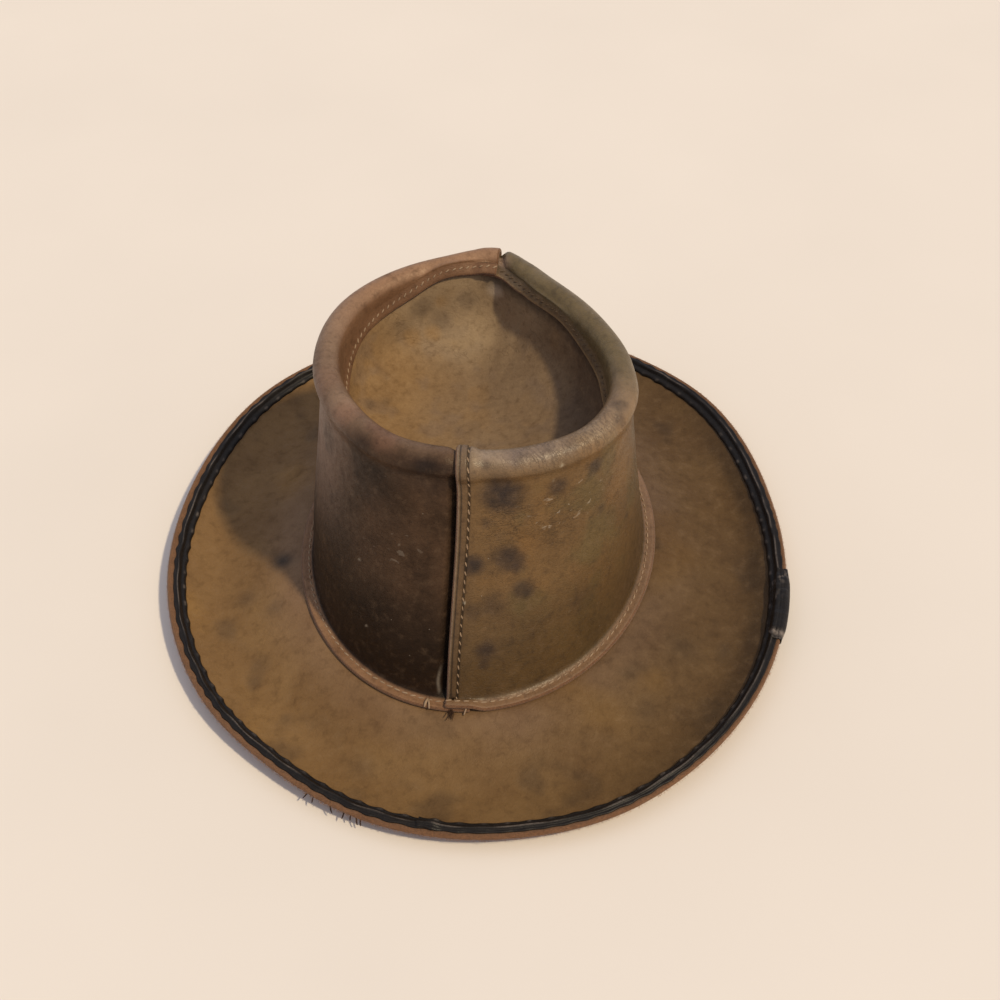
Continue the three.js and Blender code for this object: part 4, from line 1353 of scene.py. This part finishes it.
def tuft():
    # dark frayed fibres where the seam meets the brim
    paths = []
    (startX, startY), top = fibreLook["tuftPlace"], fibreLook["tuftTop"]
    for _ in range(fibreLook["tuft"]):
        x, y = startX + tuftRandom.normal(0, 1.5), startY + tuftRandom.uniform(-1, 1.2)
        reach, bend = tuftRandom.uniform(2, 5), tuftRandom.normal(0, 1.1)
        middle = (x + bend * 0.5, y + reach * 0.5, top - 0.3 - reach * 0.22)
        path = [(x, y, top), middle, (x + bend, y + reach, top - 1.9)]
        paths.append((path, tuftRandom.uniform(0.08, 0.16)))
    return paths


def looseFibres():
    # dark fibres hanging from the underside of the brim's edge
    paths = []
    for turn in fibreLook["turns"]:
        column = np.array([float(turn)])
        start = np.maximum(brimAt("curl", column) + 1.2, 2.4)
        at = placed(column, 0, brimAt("reach", column) - 0.6, start)[0]
        out = unit(at * np.array([1, 1, 0]))
        long = tuftRandom.uniform(1.6, 2.6)
        side = np.array([-out[1], out[0], 0]) * tuftRandom.normal(0, 1)
        path = np.array([at, at + out * long * 0.5 + side * 0.4 - np.array([0, 0, 0.6]),
                         at + out * long + side - np.array([0, 0, 1.4])])
        path[:, 2] = np.maximum(path[:, 2], 0.3)
        paths.append((path, fibreLook["radius"]))
    return paths


darkEnds = strands("frayedFibres", tuft() + looseFibres(), darkFibre)
print("threads made")


# Every piece rides on the hat's one body, and six of them stand for its nodes
for piece, node, slot in (
    (brim, "brim", "brim_leather"), (crownLeft, "crown_left", "brown_leather"),
    (crownRight, "crown_right", "olive_leather"), (crownTip, "crown_tip", "tan_leather"),
    (binding, "brim_binding", "binding_tape"), (bindingPatch, "binding_wrap", "binding_tape"),
):
    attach(piece, "root")
    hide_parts(node)
for piece in (*stitches, threadEnds):
    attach(piece, "root")
for piece in (edgeNap, darkEnds):
    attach(piece, "root")


# Floor, light and camera
studioLook = {
    "floorTone": colour(232, 216, 200), "floorHalf": 3.0,
    "sunBearing": -59, "sunHeight": 54, "sunAngle": 3.4, "sunStrength": 2.35,
    "sunTone": (1.0, 0.91, 0.68), "skyTone": (0.50, 0.55, 0.68), "skyStrength": 1.0,
}


def makeFloor():
    material, tree, shader, place = newMaterial("paleFloor", {
        "Roughness": 0.9, "Specular IOR Level": 0.1})
    patches = ramped(tree, noise(tree, place, 160, 3, 0.5), 0.3, 0.7)
    tone, half = studioLook["floorTone"], studioLook["floorHalf"]
    tree.links.new(tinted(tree, patches, tone, tone * 0.97), shader.inputs["Base Color"])
    mesh = bpy.data.meshes.new("floor")
    corners = [(x * half, y * half, 0) for x, y in ((-1, -1), (1, -1), (1, 1), (-1, 1))]
    mesh.from_pydata(corners, [], [(0, 1, 2, 3)])
    mesh.materials.append(material)
    added("floor", mesh)


def makeLight():
    bearing, height = math.radians(studioLook["sunBearing"]), math.radians(studioLook["sunHeight"])
    level = math.cos(height)
    towards = Vector((math.sin(bearing) * level, math.cos(bearing) * level, math.sin(height)))
    light = bpy.data.lights.new("key", "SUN")
    light.energy, light.color = studioLook["sunStrength"], studioLook["sunTone"]
    light.angle = math.radians(studioLook["sunAngle"])
    key = added("key", light)
    key.rotation_euler = towards.to_track_quat("Z", "Y").to_euler()
    key.location = towards * 2
    world = bpy.data.worlds.new("studio")
    world.use_nodes = True
    sky = world.node_tree.nodes["Background"]
    sky.inputs["Color"].default_value = (*studioLook["skyTone"], 1)
    sky.inputs["Strength"].default_value = studioLook["skyStrength"]
    bpy.context.scene.world = world


cameraLook = {
    "place": (-0.0709, 0.4913, 0.5511), "heading": 186.8, "tilt": 44, "roll": -3,
    "lens": 53.28, "sensor": 36,
}


def makeCamera():
    data = bpy.data.cameras.new("camera")
    data.lens, data.sensor_width = cameraLook["lens"], cameraLook["sensor"]
    data.sensor_fit = "HORIZONTAL"
    camera = added("camera", data)
    turned = (Matrix.Rotation(math.radians(cameraLook["heading"]), 4, "Z")
              @ Matrix.Rotation(math.radians(cameraLook["tilt"]), 4, "X")
              @ Matrix.Rotation(math.radians(cameraLook["roll"]), 4, "Z"))
    camera.matrix_world = Matrix.Translation(cameraLook["place"]) @ turned
    bpy.context.scene.camera = camera


makeFloor()
makeLight()
makeCamera()
bpy.context.scene.view_settings.view_transform = "Standard"
